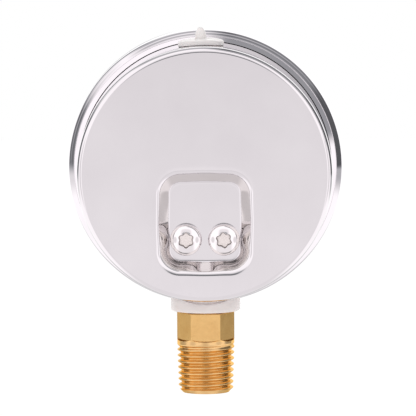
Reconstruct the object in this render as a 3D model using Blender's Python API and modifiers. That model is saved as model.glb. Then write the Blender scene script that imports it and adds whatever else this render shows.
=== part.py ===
"""Bourdon pressure gauge with a bottom stem, modelled as its separate pieces.

Metres, +Z up. The origin is on the stem's axis at the open end of its thread. The dial faces -Y and
the back of the case faces +Y. Inside the case, places are given as seen from the dial side: x to the
right and z up from the case's axis.
"""
import math

import bmesh
import bpy
import numpy as np
from mathutils import Vector

# Fits
FIT_GAP = 0.0003
LAYER_GAP = 0.0004

# Stem: male 1/4-18 taper thread, relief band, hexagon and neck
THREAD_LENGTH = 0.0119
THREAD_PITCH = 0.001411
THREAD_DEPTH = 0.0010
THREAD_START = 0.25
THREAD_END_RADIUS = 0.00654
THREAD_TAPER = 0.03125
THREAD_LEAD = 0.0010
STEM_BAND_LENGTH = 0.0007
STEM_BAND_RADIUS = 0.00685
HEX_FLATS = 0.0120
HEX_HEIGHT = 0.00675
HEX_RUNOUT = 0.0010
NECK_RADIUS = 0.0042
PORT_RADIUS = 0.0021
PORT_DEPTH = 0.0125
PASSAGE_RADIUS = 0.0011
CROSS_PASSAGE_RADIUS = 0.0009

# Throttle in the port
RESTRICTOR_DEPTH = 0.0012
RESTRICTOR_LENGTH = 0.0040
RESTRICTOR_HOLE_RADIUS = 0.0004

# Seal between the stem's shoulder and the case
GASKET_RADIUS = 0.0083
GASKET_HEIGHT = 0.0035
GASKET_COLLAR_WALL = 0.0010

# Case shell
CASE_RADIUS = 0.0304
CASE_WALL = 0.0008
CASE_BACK_EDGE = 0.0012
STEM_TO_BACK = 0.0130
SHOULDER_LENGTH = 0.0024
FLANGE_RISE = 0.00155
FLANGE_LENGTH = 0.0034

# Pocket pressed into the back of the case
POCKET_WIDTH = 0.0234
POCKET_HEIGHT = 0.0253
POCKET_TOP = 0.0012
POCKET_CORNER = 0.0058
POCKET_FLOOR_CORNER = 0.0026
POCKET_INSET = 0.00335
POCKET_DEPTH = 0.0043

# Screws that hold the case to the block
CASE_SCREW_SPACING = 0.0090
CASE_SCREW_DROP = 0.0157
CASE_SCREW_HEAD_RADIUS = 0.0038
CASE_SCREW_HEAD_HEIGHT = 0.0020
CASE_SCREW_HEAD_EDGE = 0.0006
CASE_SCREW_SHANK_RADIUS = 0.0019
CASE_SCREW_LENGTH = 0.0066
CASE_SCREW_STAR_RADIUS = 0.0019
CASE_SCREW_STAR_DEPTH = 0.0011
CASE_SCREW_STAR_WAVE = 0.00027
CASE_SCREW_STAR_LOBES = 6
CASE_SCREW_STAR_TURNS = (0.0, -9.0)
SEAL_WIDTH = 0.0011
SEAL_THICKNESS = 0.0005

# Fill plug
PLUG_LEAN = 1.5
PLUG_FROM_STEM = 0.0022
PLUG_FLANGE_RADIUS = 0.0055
PLUG_FLANGE_THICKNESS = 0.0013
PLUG_NIPPLE_RADIUS = 0.00135
PLUG_NIPPLE_LENGTH = 0.00285
PLUG_NIPPLE_STRAIGHT = 0.0011
PLUG_NECK_RADIUS = 0.0031
PLUG_NECK_LENGTH = 0.0040

# Block inside the case
BLOCK_WIDTH = 0.0180
BLOCK_TOP = 0.0095
BLOCK_HEIGHT = 0.0140

# Bourdon tube and its end piece
TUBE_RADIUS = 0.0210
TUBE_THICKNESS = 0.0030
TUBE_WIDTH = 0.0080
TUBE_WALL = 0.0005
TUBE_BULGE = 0.75
TUBE_FLATNESS = 0.5
TUBE_FOOT_ANGLE = 252.0
TUBE_FOOT_CLEARANCE = 1.0
TUBE_SLOT_ANGLE = 236.0
TUBE_END_ANGLE = -30.0
TIP_PIVOT_ANGLE = -36.0
TIP_RADIUS = 0.0024
TIP_TURN = 6.4

# Gear movement
GEAR_MODULE = 0.00036
PINION_TEETH = 10
SECTOR_FULL_TEETH = 90
SECTOR_TEETH = 11
POINTER_TRAVEL = 270.0
TOOTH_ROOT = (-1.3, 0.44)
TOOTH_MIDDLE = (0.0, 0.30)
TOOTH_CREST = (0.9, 0.16)
TAIL_LENGTH = 0.0055
TAIL_ANGLE = -51.5
TAIL_RADIUS = 0.0016
SECTOR_HUB_RADIUS = 0.0024
SECTOR_NECK_ANGLE = 75.0
TAIL_NECK_ANGLE = 60.0
SECTOR_THICKNESS = 0.0010
LINK_THICKNESS = 0.0008
LINK_WIDTH = 0.0014
PIN_RADIUS = 0.0006
PIN_HEAD_RADIUS = 0.0012
PIN_HEAD_HEIGHT = 0.0006
ARBOR_RADIUS = 0.0006

# Plates, pillars and screws of the movement
PLATE_THICKNESS = 0.0010
PLATE_HALF_WIDTH = 0.0100
PLATE_TOP = 0.0070
PLATE_BELOW_SECTOR = 0.0050
PLATE_CORNER = 0.0020
PILLAR_RADIUS = 0.0018
PILLAR_UPPER_X = 0.0080
PILLAR_UPPER_Z = 0.0045
PILLAR_LOWER_X = -0.0075
PILLAR_LOWER_DROP = 0.0025
SMALL_SCREW_RADIUS = 0.0007
SMALL_SCREW_HEAD_RADIUS = 0.0015
SMALL_SCREW_HEAD_HEIGHT = 0.0008
PLATE_SCREW_DEPTH = 0.0020
MOVEMENT_SCREW_X = 0.0070
MOVEMENT_SCREW_DROP = 0.0040
MOVEMENT_SCREW_DEPTH = 0.0032

# Hairspring
HAIRSPRING_TURNS = 4
HAIRSPRING_PITCH = 0.0009
HAIRSPRING_STRIP = 0.0002
HAIRSPRING_WIDTH = 0.0008
COLLET_WALL = 0.0006
STUD_RADIUS = 0.0006

# Dial, pointer and stop pin
DIAL_THICKNESS = 0.0006
DIAL_EDGE_GAP = 0.0005
DIAL_STANDOFF = 0.0012
DIAL_CENTRE_HOLE = 0.0030
DIAL_SCREW_X = 0.0075
DIAL_SCREW_DROP = 0.0060
DIAL_SCREW_HEAD_HEIGHT = 0.0006
BOSS_WALL = 0.0008
POINTER_LIFT = 0.0013
POINTER_THICKNESS = 0.0004
POINTER_EDGE_MARGIN = 0.0055
POINTER_ROOT_HALF_WIDTH = 0.0013
POINTER_TIP_HALF_WIDTH = 0.0003
POINTER_TAIL = 0.0080
POINTER_TAIL_HALF_WIDTH = 0.0018
POINTER_ZERO_ANGLE = 225.0
NEEDLE_ROOT_ANGLE = 40.0
BALANCE_ROOT_ANGLE = 150.0
HUB_FLANGE_RADIUS = 0.0024
HUB_BOSS_WALL = 0.0006
HUB_ABOVE_POINTER = 0.0007
STOP_PIN_FROM_AXIS = 0.0140

# Window, its gasket and the crimped bezel
POINTER_TO_WINDOW = 0.0018
WINDOW_GASKET_WIDTH = 0.0030
WINDOW_GASKET_THICKNESS = 0.0010
WINDOW_THICKNESS = 0.0022
BEZEL_WALL = 0.0008
BEZEL_OPENING_RADIUS = 0.0276
BEZEL_FRONT_ROUND = 0.0018
BEZEL_HOOK = 0.42

# Facets of round pieces
LARGE_STEPS = 48
MEDIUM_STEPS = 24
SMALL_STEPS = 10
TINY_STEPS = 8
THREAD_STEPS = 24
THREAD_ROWS_PER_PITCH = 5
TUBE_SECTIONS = 22
TUBE_FACETS = 12
SLOT_STEPS = 4
CORNER_STEPS = 5
BEND_STEPS = 3
DOME_STEPS = 4
STAR_POINTS = 24
EYE_STEPS = 9
SHOULDER_STEPS = 4
HOOK_STEPS = 3
POCKET_STEPS = 5
SPIRAL_STEPS = 24
WELD = 0.000002
SMOOTH_ANGLE = 35.0

# Heights along the stem
HEX_BOTTOM = THREAD_LENGTH + STEM_BAND_LENGTH
HEX_TOP = HEX_BOTTOM + HEX_HEIGHT
AXIS_Z = HEX_TOP + GASKET_HEIGHT + CASE_RADIUS

# Layers from the back of the case to the front, along Y
BACK_Y = STEM_TO_BACK
FLOOR_Y = BACK_Y - POCKET_DEPTH
BLOCK_BACK = FLOOR_Y - CASE_WALL - FIT_GAP
BLOCK_FRONT = -NECK_RADIUS - FIT_GAP
BACK_PLATE_REAR = BLOCK_FRONT - FIT_GAP
BACK_PLATE_FRONT = BACK_PLATE_REAR - PLATE_THICKNESS
LINK_REAR = BACK_PLATE_FRONT - LAYER_GAP
LINK_FRONT = LINK_REAR - LINK_THICKNESS
SECTOR_REAR = LINK_FRONT - LAYER_GAP
SECTOR_FRONT = SECTOR_REAR - SECTOR_THICKNESS
SPRING_REAR = SECTOR_FRONT - LAYER_GAP
SPRING_FRONT = SPRING_REAR - HAIRSPRING_WIDTH
FRONT_PLATE_REAR = SPRING_FRONT - LAYER_GAP
FRONT_PLATE_FRONT = FRONT_PLATE_REAR - PLATE_THICKNESS
DIAL_REAR = FRONT_PLATE_FRONT - DIAL_STANDOFF - FIT_GAP
DIAL_FRONT = DIAL_REAR - DIAL_THICKNESS
POINTER_REAR = DIAL_FRONT - POINTER_LIFT
POINTER_FRONT = POINTER_REAR - POINTER_THICKNESS
WINDOW_REAR = POINTER_FRONT - POINTER_TO_WINDOW
WINDOW_FRONT = WINDOW_REAR - WINDOW_THICKNESS
WINDOW_GASKET_REAR = WINDOW_REAR + FIT_GAP + WINDOW_GASKET_THICKNESS
RIM_Y = WINDOW_GASKET_REAR + FIT_GAP
SHOULDER_FRONT = RIM_Y + FLANGE_LENGTH
SHOULDER_REAR = SHOULDER_FRONT + SHOULDER_LENGTH

# Widths that follow from what they fit
CASE_BORE = CASE_RADIUS - CASE_WALL
FLANGE_RADIUS = CASE_RADIUS + FLANGE_RISE
COLLAR_INNER = NECK_RADIUS + FIT_GAP
COLLAR_OUTER = COLLAR_INNER + GASKET_COLLAR_WALL
DIAL_RADIUS = CASE_BORE - DIAL_EDGE_GAP
POINTER_LENGTH = DIAL_RADIUS - POINTER_EDGE_MARGIN
TUBE_Y = (BLOCK_BACK + BLOCK_FRONT) / 2
COLLET_RADIUS = ARBOR_RADIUS + FIT_GAP + COLLET_WALL
SPIRAL_START = COLLET_RADIUS + FIT_GAP + HAIRSPRING_STRIP / 2
SPIRAL_END = SPIRAL_START + HAIRSPRING_TURNS * HAIRSPRING_PITCH
HUB_BORE = ARBOR_RADIUS + FIT_GAP
HUB_BOSS_RADIUS = HUB_BORE + HUB_BOSS_WALL

# Places in the movement, as (x, z) from the case's axis
PINION_RADIUS = GEAR_MODULE * PINION_TEETH / 2
SECTOR_RADIUS = GEAR_MODULE * SECTOR_FULL_TEETH / 2
SECTOR_SWING = POINTER_TRAVEL * PINION_TEETH / SECTOR_FULL_TEETH
SECTOR_PIVOT = Vector((0.0, -(PINION_RADIUS + SECTOR_RADIUS)))
PLATE_BOTTOM = SECTOR_PIVOT.y - PLATE_BELOW_SECTOR


def direction(degrees):
    """Unit vector at an angle in the dial view, counted from +x towards +z."""
    return Vector((math.cos(math.radians(degrees)), math.sin(math.radians(degrees))))


TAIL_PIVOT = SECTOR_PIVOT + TAIL_LENGTH * direction(TAIL_ANGLE - SECTOR_SWING / 2)
TIP_PIVOT = TUBE_RADIUS * direction(TIP_PIVOT_ANGLE)
TIP_TRAVEL = 2 * TAIL_LENGTH * math.sin(math.radians(SECTOR_SWING / 2))
TIP_HEADING = direction(TAIL_ANGLE + 90.0)
TIP_AXIS_DISTANCE = TIP_TRAVEL / 2 / math.tan(math.radians(TIP_TURN / 2))
TIP_AXIS = TIP_PIVOT + TIP_HEADING * TIP_TRAVEL / 2 - direction(TAIL_ANGLE) * TIP_AXIS_DISTANCE
PILLARS = (
    Vector((-PILLAR_UPPER_X, PILLAR_UPPER_Z)),
    Vector((PILLAR_UPPER_X, PILLAR_UPPER_Z)),
    Vector((PILLAR_LOWER_X, SECTOR_PIVOT.y - PILLAR_LOWER_DROP)),
)
MOVEMENT_SCREWS = tuple(
    Vector((side * MOVEMENT_SCREW_X, -BLOCK_TOP - MOVEMENT_SCREW_DROP)) for side in (-1, 1)
)
DIAL_SCREWS = tuple(Vector((side * DIAL_SCREW_X, -DIAL_SCREW_DROP)) for side in (-1, 1))
CASE_SCREWS = tuple(Vector((side * CASE_SCREW_SPACING / 2, -CASE_SCREW_DROP)) for side in (1, -1))
STUD_PLACE = direction(180.0) * (SPIRAL_END + HAIRSPRING_STRIP / 2 + FIT_GAP + STUD_RADIUS)
POINTER_HALF_WIDTH_AT_STOP = POINTER_ROOT_HALF_WIDTH + (
    (POINTER_TIP_HALF_WIDTH - POINTER_ROOT_HALF_WIDTH) * STOP_PIN_FROM_AXIS / POINTER_LENGTH
)
STOP_OFFSET = POINTER_HALF_WIDTH_AT_STOP + FIT_GAP + PIN_RADIUS
STOP_PLACE = (
    direction(POINTER_ZERO_ANGLE) * STOP_PIN_FROM_AXIS
    + direction(POINTER_ZERO_ANGLE + 90.0) * STOP_OFFSET
)


def new_collection(name):
    """Collection of that name, linked to the scene."""
    collection = bpy.data.collections.new(name)
    bpy.context.scene.collection.children.link(collection)
    return collection


def add_raw(name, data):
    """Construction object, kept out of the finished parts."""
    obj = bpy.data.objects.new(name, data)
    obj.hide_render = True
    obj.display_type = "WIRE"
    CONSTRUCTION.objects.link(obj)
    return obj


def tidy_mesh(mesh):
    """Weld doubled points and turn the faces outwards."""
    bm = bmesh.new()
    bm.from_mesh(mesh)
    bmesh.ops.remove_doubles(bm, verts=bm.verts, dist=WELD)
    bmesh.ops.dissolve_degenerate(bm, edges=bm.edges, dist=WELD)
    bmesh.ops.recalc_face_normals(bm, faces=bm.faces)
    bm.to_mesh(mesh)
    bm.free()


def evaluated_mesh(obj):
    """Mesh of an object with its modifiers applied."""
    bpy.context.view_layer.update()
    depsgraph = bpy.context.evaluated_depsgraph_get()
    mesh = bpy.data.meshes.new_from_object(obj.evaluated_get(depsgraph))
    tidy_mesh(mesh)
    return mesh


def as_mesh(obj):
    """Mesh object in place of an object with modifiers, or of a curve."""
    solid = add_raw(obj.name + "_solid", evaluated_mesh(obj))
    solid.matrix_world = obj.matrix_world
    bpy.data.objects.remove(obj)
    return solid


def combine(target, tool, operation):
    """Boolean of two construction objects, which uses up the tool."""
    modifier = target.modifiers.new(operation.lower(), "BOOLEAN")
    modifier.operation = operation
    modifier.object = tool
    target.data = evaluated_mesh(target)
    target.modifiers.clear()
    bpy.data.objects.remove(tool)
    return target


def along(axis, place):
    """Location and turn of a shape whose own Z runs along that world axis through place."""
    if axis == "Y":
        return Vector((place.x, 0.0, AXIS_Z + place.y)), (-math.pi / 2, 0.0, 0.0)
    return Vector((place.x, place.y, 0.0)), (0.0, 0.0, 0.0)


def turned(profile, axis="Y", place=Vector((0.0, 0.0)), steps=SMALL_STEPS, ring=False):
    """Turned solid: (radius, height) points run down its outer side, and on along any bore."""
    mesh = bpy.data.meshes.new("profile")
    edges = [(i, i + 1) for i in range(len(profile) - 1)]
    if ring:
        edges.append((len(profile) - 1, 0))
    mesh.from_pydata([(radius, 0.0, height) for radius, height in profile], edges, [])
    obj = add_raw("turned", mesh)
    obj.location, obj.rotation_euler = along(axis, place)
    screw = obj.modifiers.new("turn", "SCREW")
    screw.axis = "Z"
    screw.steps = steps
    screw.render_steps = steps
    screw.use_merge_vertices = True
    screw.merge_threshold = WELD
    return as_mesh(obj)


def rod(radius, top, bottom, axis="Y", place=Vector((0.0, 0.0)), steps=SMALL_STEPS):
    """Plain cylinder between two heights along an axis."""
    mesh = bpy.data.meshes.new("rod")
    bm = bmesh.new()
    bmesh.ops.create_cone(
        bm, cap_ends=True, segments=steps, radius1=radius, radius2=radius, depth=top - bottom
    )
    bmesh.ops.translate(bm, verts=bm.verts, vec=(0.0, 0.0, (top + bottom) / 2))
    bm.to_mesh(mesh)
    bm.free()
    obj = add_raw("rod", mesh)
    obj.location, obj.rotation_euler = along(axis, place)
    return obj


def block(size, centre):
    """Box of that size about a centre."""
    mesh = bpy.data.meshes.new("block")
    bm = bmesh.new()
    bmesh.ops.create_cube(bm, size=1.0)
    bmesh.ops.scale(bm, verts=bm.verts, vec=size)
    bm.to_mesh(mesh)
    bm.free()
    obj = add_raw("block", mesh)
    obj.location = centre
    return obj


def plate(outlines, rear, front, place=Vector((0.0, 0.0))):
    """Flat piece between two depths, from outlines in the dial view; inner outlines are holes."""
    curve = bpy.data.curves.new("outline", "CURVE")
    curve.dimensions = "2D"
    curve.fill_mode = "BOTH"
    curve.extrude = (rear - front) / 2
    for outline in outlines:
        spline = curve.splines.new("POLY")
        spline.points.add(len(outline) - 1)
        for point, (x, z) in zip(spline.points, outline):
            point.co = (x, z, 0.0, 1.0)
        spline.use_cyclic_u = True
    obj = add_raw("plate", curve)
    obj.location = (place.x, (rear + front) / 2, AXIS_Z + place.y)
    obj.rotation_euler = (math.pi / 2, 0.0, 0.0)
    return as_mesh(obj)


def loft(rings):
    """Closed solid through rings of points, with flat ends."""
    mesh = bpy.data.meshes.new("loft")
    bm = bmesh.new()
    loops = [[bm.verts.new(point) for point in ring] for ring in rings]
    count = len(rings[0])
    for first, second in zip(loops, loops[1:]):
        for i in range(count):
            j = (i + 1) % count
            bm.faces.new((first[i], first[j], second[j], second[i]))
    bm.faces.new(list(reversed(loops[0])))
    bm.faces.new(loops[-1])
    bm.to_mesh(mesh)
    bm.free()
    tidy_mesh(mesh)
    return add_raw("loft", mesh)


def arc(centre, radius, start, end, steps):
    """Points of an arc between two angles in degrees."""
    return [
        Vector(centre) + radius * direction(start + (end - start) * i / steps) for i in range(steps + 1)
    ]


def circle(radius, centre=Vector((0.0, 0.0)), steps=SMALL_STEPS):
    """Points of a full circle."""
    return arc(centre, radius, 0.0, 360.0, steps)[:-1]


def capsule(start, end, radius, steps=CORNER_STEPS):
    """Outline of a bar with round ends from one point to another."""
    heading = math.degrees(math.atan2(end.y - start.y, end.x - start.x))
    near = arc(start, radius, heading + 90.0, heading + 270.0, steps)
    far = arc(end, radius, heading - 90.0, heading + 90.0, steps)
    return near + far


def rounded_rectangle(left, right, bottom, top, corner, steps=CORNER_STEPS):
    """Outline of a rectangle with round corners."""
    return (
        arc((right - corner, top - corner), corner, 0.0, 90.0, steps)
        + arc((left + corner, top - corner), corner, 90.0, 180.0, steps)
        + arc((left + corner, bottom + corner), corner, 180.0, 270.0, steps)
        + arc((right - corner, bottom + corner), corner, 270.0, 360.0, steps)
    )


def finish(name, raw, material, joint=None):
    """Named part from a construction object, with its round faces shaded smooth."""
    mesh = evaluated_mesh(raw)
    mesh.name = name
    mesh.materials.clear()
    mesh.materials.append(material)
    mesh.shade_smooth()
    mesh.set_sharp_from_angle(angle=math.radians(SMOOTH_ANGLE))
    part = bpy.data.objects.new(name, mesh)
    PARTS.objects.link(part)
    part.parent = joint
    part.matrix_world = raw.matrix_world
    bpy.data.objects.remove(raw)
    return part


def joint_axis(name, place, y=0.0):
    """Empty on the axis that a moving piece turns about."""
    empty = bpy.data.objects.new(name, None)
    empty.location = (place.x, y, AXIS_Z + place.y)
    empty.empty_display_size = TUBE_WIDTH
    PARTS.objects.link(empty)
    bpy.context.view_layer.update()
    return empty


def new_material(name, colour, roughness, metallic):
    """Principled material of one colour."""
    material = bpy.data.materials.new(name)
    material.use_nodes = True
    shader = material.node_tree.nodes["Principled BSDF"]
    shader.inputs["Base Color"].default_value = (*colour, 1.0)
    shader.inputs["Roughness"].default_value = roughness
    shader.inputs["Metallic"].default_value = metallic
    return material


def thread_radius(height, angle):
    """Radius of the threaded stem, crest or root, at a height and an angle round its axis."""
    crest = THREAD_END_RADIUS + THREAD_TAPER * height
    phase = height / THREAD_PITCH - angle / math.tau - THREAD_START
    groove = THREAD_DEPTH * (0.5 - 0.5 * math.cos(math.tau * phase))
    lead = THREAD_END_RADIUS - THREAD_LEAD + height
    runout = min(1.0, max(0.0, (THREAD_LENGTH - height) / THREAD_PITCH))
    return STEM_BAND_RADIUS + (min(crest - groove, lead) - STEM_BAND_RADIUS) * runout


def hexagon_ring(flats, height):
    """Corners of a hexagon that size across its flats, with flats towards +Y and -Y."""
    corner = flats / math.sqrt(3.0)
    return [(*(corner * direction(60.0 * i)), height) for i in range(6)]


def threaded_stem():
    """Thread, band and hexagon: a fine-rowed round bar, with flats that run out above the band."""
    rows = round(THREAD_LENGTH / THREAD_PITCH * THREAD_ROWS_PER_PITCH)
    heights = [THREAD_LENGTH * i / rows for i in range(rows + 1)] + [HEX_BOTTOM, HEX_TOP]
    stem = rod(1.0, float(len(heights) - 1), 0.0, "Z", steps=THREAD_STEPS)
    bm = bmesh.new()
    bm.from_mesh(stem.data)
    uprights = [edge for edge in bm.edges if abs(edge.verts[0].co.z - edge.verts[1].co.z) > 0.5]
    bmesh.ops.subdivide_edges(bm, edges=uprights, cuts=len(heights) - 2, use_grid_fill=True)
    for vert in bm.verts:
        height = heights[round(vert.co.z)]
        angle = math.atan2(vert.co.y, vert.co.x)
        radius = thread_radius(height, angle)
        vert.co = (radius * math.cos(angle), radius * math.sin(angle), height)
    bm.to_mesh(stem.data)
    bm.free()
    tidy_mesh(stem.data)
    wide = 2 * (STEM_BAND_RADIUS + HEX_RUNOUT)
    flats = loft(
        [
            hexagon_ring(wide + HEX_FLATS, -HEX_HEIGHT),
            hexagon_ring(wide, HEX_BOTTOM),
            hexagon_ring(HEX_FLATS, HEX_BOTTOM + HEX_RUNOUT),
            hexagon_ring(HEX_FLATS, HEX_TOP + HEX_HEIGHT),
        ]
    )
    return combine(stem, flats, "INTERSECT")


def tube_section(thickness, width, angle):
    """Flattened oval section of the tube, square to its path at that angle."""
    points = []
    for i in range(TUBE_FACETS):
        turn = direction(360.0 * (i + 0.5) / TUBE_FACETS)
        across = math.copysign(abs(turn.x) ** TUBE_BULGE, turn.x) * thickness / 2
        y = TUBE_Y + math.copysign(abs(turn.y) ** TUBE_FLATNESS, turn.y) * width / 2
        spot = (TUBE_RADIUS + across) * direction(angle)
        points.append((spot.x, y, AXIS_Z + spot.y))
    return points


def tube_rings(start, end, sections, grow=0.0):
    """Sections of the tube between two angles, each grown by the same amount all round."""
    return [
        tube_section(TUBE_THICKNESS + 2 * grow, TUBE_WIDTH + 2 * grow, start + (end - start) * i / sections)
        for i in range(sections + 1)
    ]


def build_socket():
    """Stem, hexagon, neck and block in one brass piece, with its port and tapped holes."""
    block_bottom = -BLOCK_TOP - BLOCK_HEIGHT
    block_centre = (0.0, TUBE_Y, AXIS_Z - BLOCK_TOP - BLOCK_HEIGHT / 2)
    socket = block((BLOCK_WIDTH, BLOCK_BACK - BLOCK_FRONT, BLOCK_HEIGHT), block_centre)
    inside_block = AXIS_Z + block_bottom + BLOCK_HEIGHT / 4
    neck = rod(NECK_RADIUS, inside_block, HEX_TOP - HEX_HEIGHT / 4, "Z", steps=MEDIUM_STEPS)
    combine(socket, neck, "UNION")
    combine(socket, threaded_stem(), "UNION")
    combine(socket, rod(PORT_RADIUS, PORT_DEPTH, -PORT_DEPTH, "Z"), "DIFFERENCE")
    foot = TUBE_RADIUS * direction(TUBE_FOOT_ANGLE)
    passage_top = AXIS_Z + foot.y + PASSAGE_RADIUS
    combine(socket, rod(PASSAGE_RADIUS, passage_top, 0.0, "Z", steps=TINY_STEPS), "DIFFERENCE")
    cross = rod(CROSS_PASSAGE_RADIUS, 0.0, foot.x - PASSAGE_RADIUS, "Z", steps=TINY_STEPS)
    cross.location = (0.0, 0.0, AXIS_Z + foot.y)
    cross.rotation_euler = (0.0, math.pi / 2, 0.0)
    combine(socket, cross, "DIFFERENCE")
    slot_start = TUBE_FOOT_ANGLE + TUBE_FOOT_CLEARANCE
    slot = loft(tube_rings(slot_start, TUBE_SLOT_ANGLE, SLOT_STEPS, FIT_GAP))
    combine(socket, slot, "DIFFERENCE")
    for place in CASE_SCREWS:
        hole_end = BLOCK_BACK - CASE_SCREW_LENGTH
        hole = rod(CASE_SCREW_SHANK_RADIUS + FIT_GAP, BACK_Y, hole_end, place=place)
        combine(socket, hole, "DIFFERENCE")
    for place in MOVEMENT_SCREWS:
        hole_end = BLOCK_FRONT + MOVEMENT_SCREW_DEPTH + FIT_GAP
        hole = rod(SMALL_SCREW_RADIUS + FIT_GAP, hole_end, SECTOR_FRONT, place=place)
        combine(socket, hole, "DIFFERENCE")
    return finish("socket", socket, BRASS)


def build_restrictor():
    """Throttle with a fine hole, near the mouth of the port."""
    radius = PORT_RADIUS - FIT_GAP
    top = RESTRICTOR_DEPTH + RESTRICTOR_LENGTH
    ring = [
        (RESTRICTOR_HOLE_RADIUS, top),
        (radius, top),
        (radius, RESTRICTOR_DEPTH),
        (RESTRICTOR_HOLE_RADIUS, RESTRICTOR_DEPTH),
    ]
    return finish("restrictor_screw", turned(ring, "Z", ring=True), BRASS)


def shoulder_point(t, offset=0.0):
    """Point (radius, y) on the case's flared shoulder, t from 0 at its rear to 1, moved outwards."""
    radius = CASE_RADIUS + FLANGE_RISE * (0.5 - 0.5 * math.cos(math.pi * t))
    y = SHOULDER_REAR - SHOULDER_LENGTH * t
    normal = Vector((SHOULDER_LENGTH, FLANGE_RISE * math.pi / 2 * math.sin(math.pi * t))).normalized()
    return radius + offset * normal.x, y + offset * normal.y


def case_outside(offset=0.0):
    """Outer profile of the case from the middle of its back to its front rim, moved outwards."""
    edge_centre = (CASE_RADIUS - CASE_BACK_EDGE, BACK_Y - CASE_BACK_EDGE)
    edge = [tuple(point) for point in arc(edge_centre, CASE_BACK_EDGE + offset, 90.0, 0.0, BEND_STEPS)]
    shoulder = [shoulder_point(i / SHOULDER_STEPS, offset) for i in range(SHOULDER_STEPS + 1)]
    rim = [(FLANGE_RADIUS + offset, RIM_Y - offset)]
    return [(0.0, BACK_Y + offset)] + edge + shoulder + rim


def pocket_rings(wall, mouth_depth):
    """Outlines of the pocket from its mouth to its floor, grown by a wall on the inside of the case."""
    rings = []
    depths = [mouth_depth] + [
        POCKET_DEPTH * (0.5 - 0.5 * math.cos(math.pi * i / POCKET_STEPS)) + wall
        for i in range(POCKET_STEPS + 1)
    ]
    for level, depth in enumerate(depths):
        t = max(0, level - 1) / POCKET_STEPS
        inset = POCKET_INSET * t - wall
        corner = POCKET_CORNER + (POCKET_FLOOR_CORNER - POCKET_CORNER) * t + wall
        half = POCKET_WIDTH / 2 - inset
        top = POCKET_TOP - inset
        bottom = POCKET_TOP - POCKET_HEIGHT + inset
        outline = rounded_rectangle(-half, half, bottom, top, corner)
        rings.append([(x, BACK_Y - depth, AXIS_Z + z) for x, z in outline])
    return rings


def build_case():
    """Drawn shell with a flared front flange, a pressed pocket and holes for stem, plug and screws."""
    inside = [
        (FLANGE_RADIUS - CASE_WALL, RIM_Y),
        (FLANGE_RADIUS - CASE_WALL, SHOULDER_FRONT),
        (CASE_BORE, SHOULDER_REAR),
        (CASE_BORE, BACK_Y - CASE_BACK_EDGE - CASE_WALL),
        (CASE_BORE - CASE_BACK_EDGE, BACK_Y - CASE_WALL),
        (0.0, BACK_Y - CASE_WALL),
    ]
    case = turned(case_outside() + inside, steps=LARGE_STEPS)
    combine(case, loft(pocket_rings(CASE_WALL, CASE_WALL / 2)), "UNION")
    combine(case, loft(pocket_rings(0.0, -CASE_WALL)), "DIFFERENCE")
    for place in CASE_SCREWS:
        hole = rod(CASE_SCREW_SHANK_RADIUS + FIT_GAP, BACK_Y, BLOCK_BACK, place=place)
        combine(case, hole, "DIFFERENCE")
    stem_hole = rod(COLLAR_OUTER + FIT_GAP, AXIS_Z - CASE_RADIUS / 2, HEX_TOP, "Z", steps=MEDIUM_STEPS)
    combine(case, stem_hole, "DIFFERENCE")
    plug_hole = rod(PLUG_NECK_RADIUS + FIT_GAP, 2 * CASE_RADIUS, CASE_RADIUS / 2, "Z", steps=MEDIUM_STEPS)
    lean_plug(plug_hole)
    combine(case, plug_hole, "DIFFERENCE")
    return finish("case", case, STEEL)


def build_stem_gasket():
    """Flange between the hexagon and the case, with a collar through the case's hole."""
    bottom = HEX_TOP + FIT_GAP
    flange_top = AXIS_Z - CASE_RADIUS + GASKET_HEIGHT
    flange = turned(
        [
            (COLLAR_INNER, flange_top),
            (GASKET_RADIUS, flange_top),
            (GASKET_RADIUS, bottom),
            (COLLAR_INNER, bottom),
        ],
        "Z",
        steps=MEDIUM_STEPS,
        ring=True,
    )
    over = turned(case_outside(FIT_GAP) + [(0.0, RIM_Y - FIT_GAP)], steps=LARGE_STEPS)
    combine(flange, over, "DIFFERENCE")
    collar_top = AXIS_Z - CASE_BORE + CASE_WALL
    collar_bottom = bottom + GASKET_HEIGHT / 4
    collar = turned(
        [
            (COLLAR_INNER, collar_top),
            (COLLAR_OUTER, collar_top),
            (COLLAR_OUTER, collar_bottom),
            (COLLAR_INNER, collar_bottom),
        ],
        "Z",
        steps=MEDIUM_STEPS,
        ring=True,
    )
    combine(flange, collar, "UNION")
    return finish("stem_gasket", flange, POLYMER)


def lean_plug(obj):
    """Set a shape that stands on +Z on the plug's own radial line from the case's axis."""
    obj.location = (0.0, PLUG_FROM_STEM, AXIS_Z)
    obj.rotation_euler = (0.0, math.radians(PLUG_LEAN), 0.0)
    bpy.context.view_layer.update()
    return obj


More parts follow.
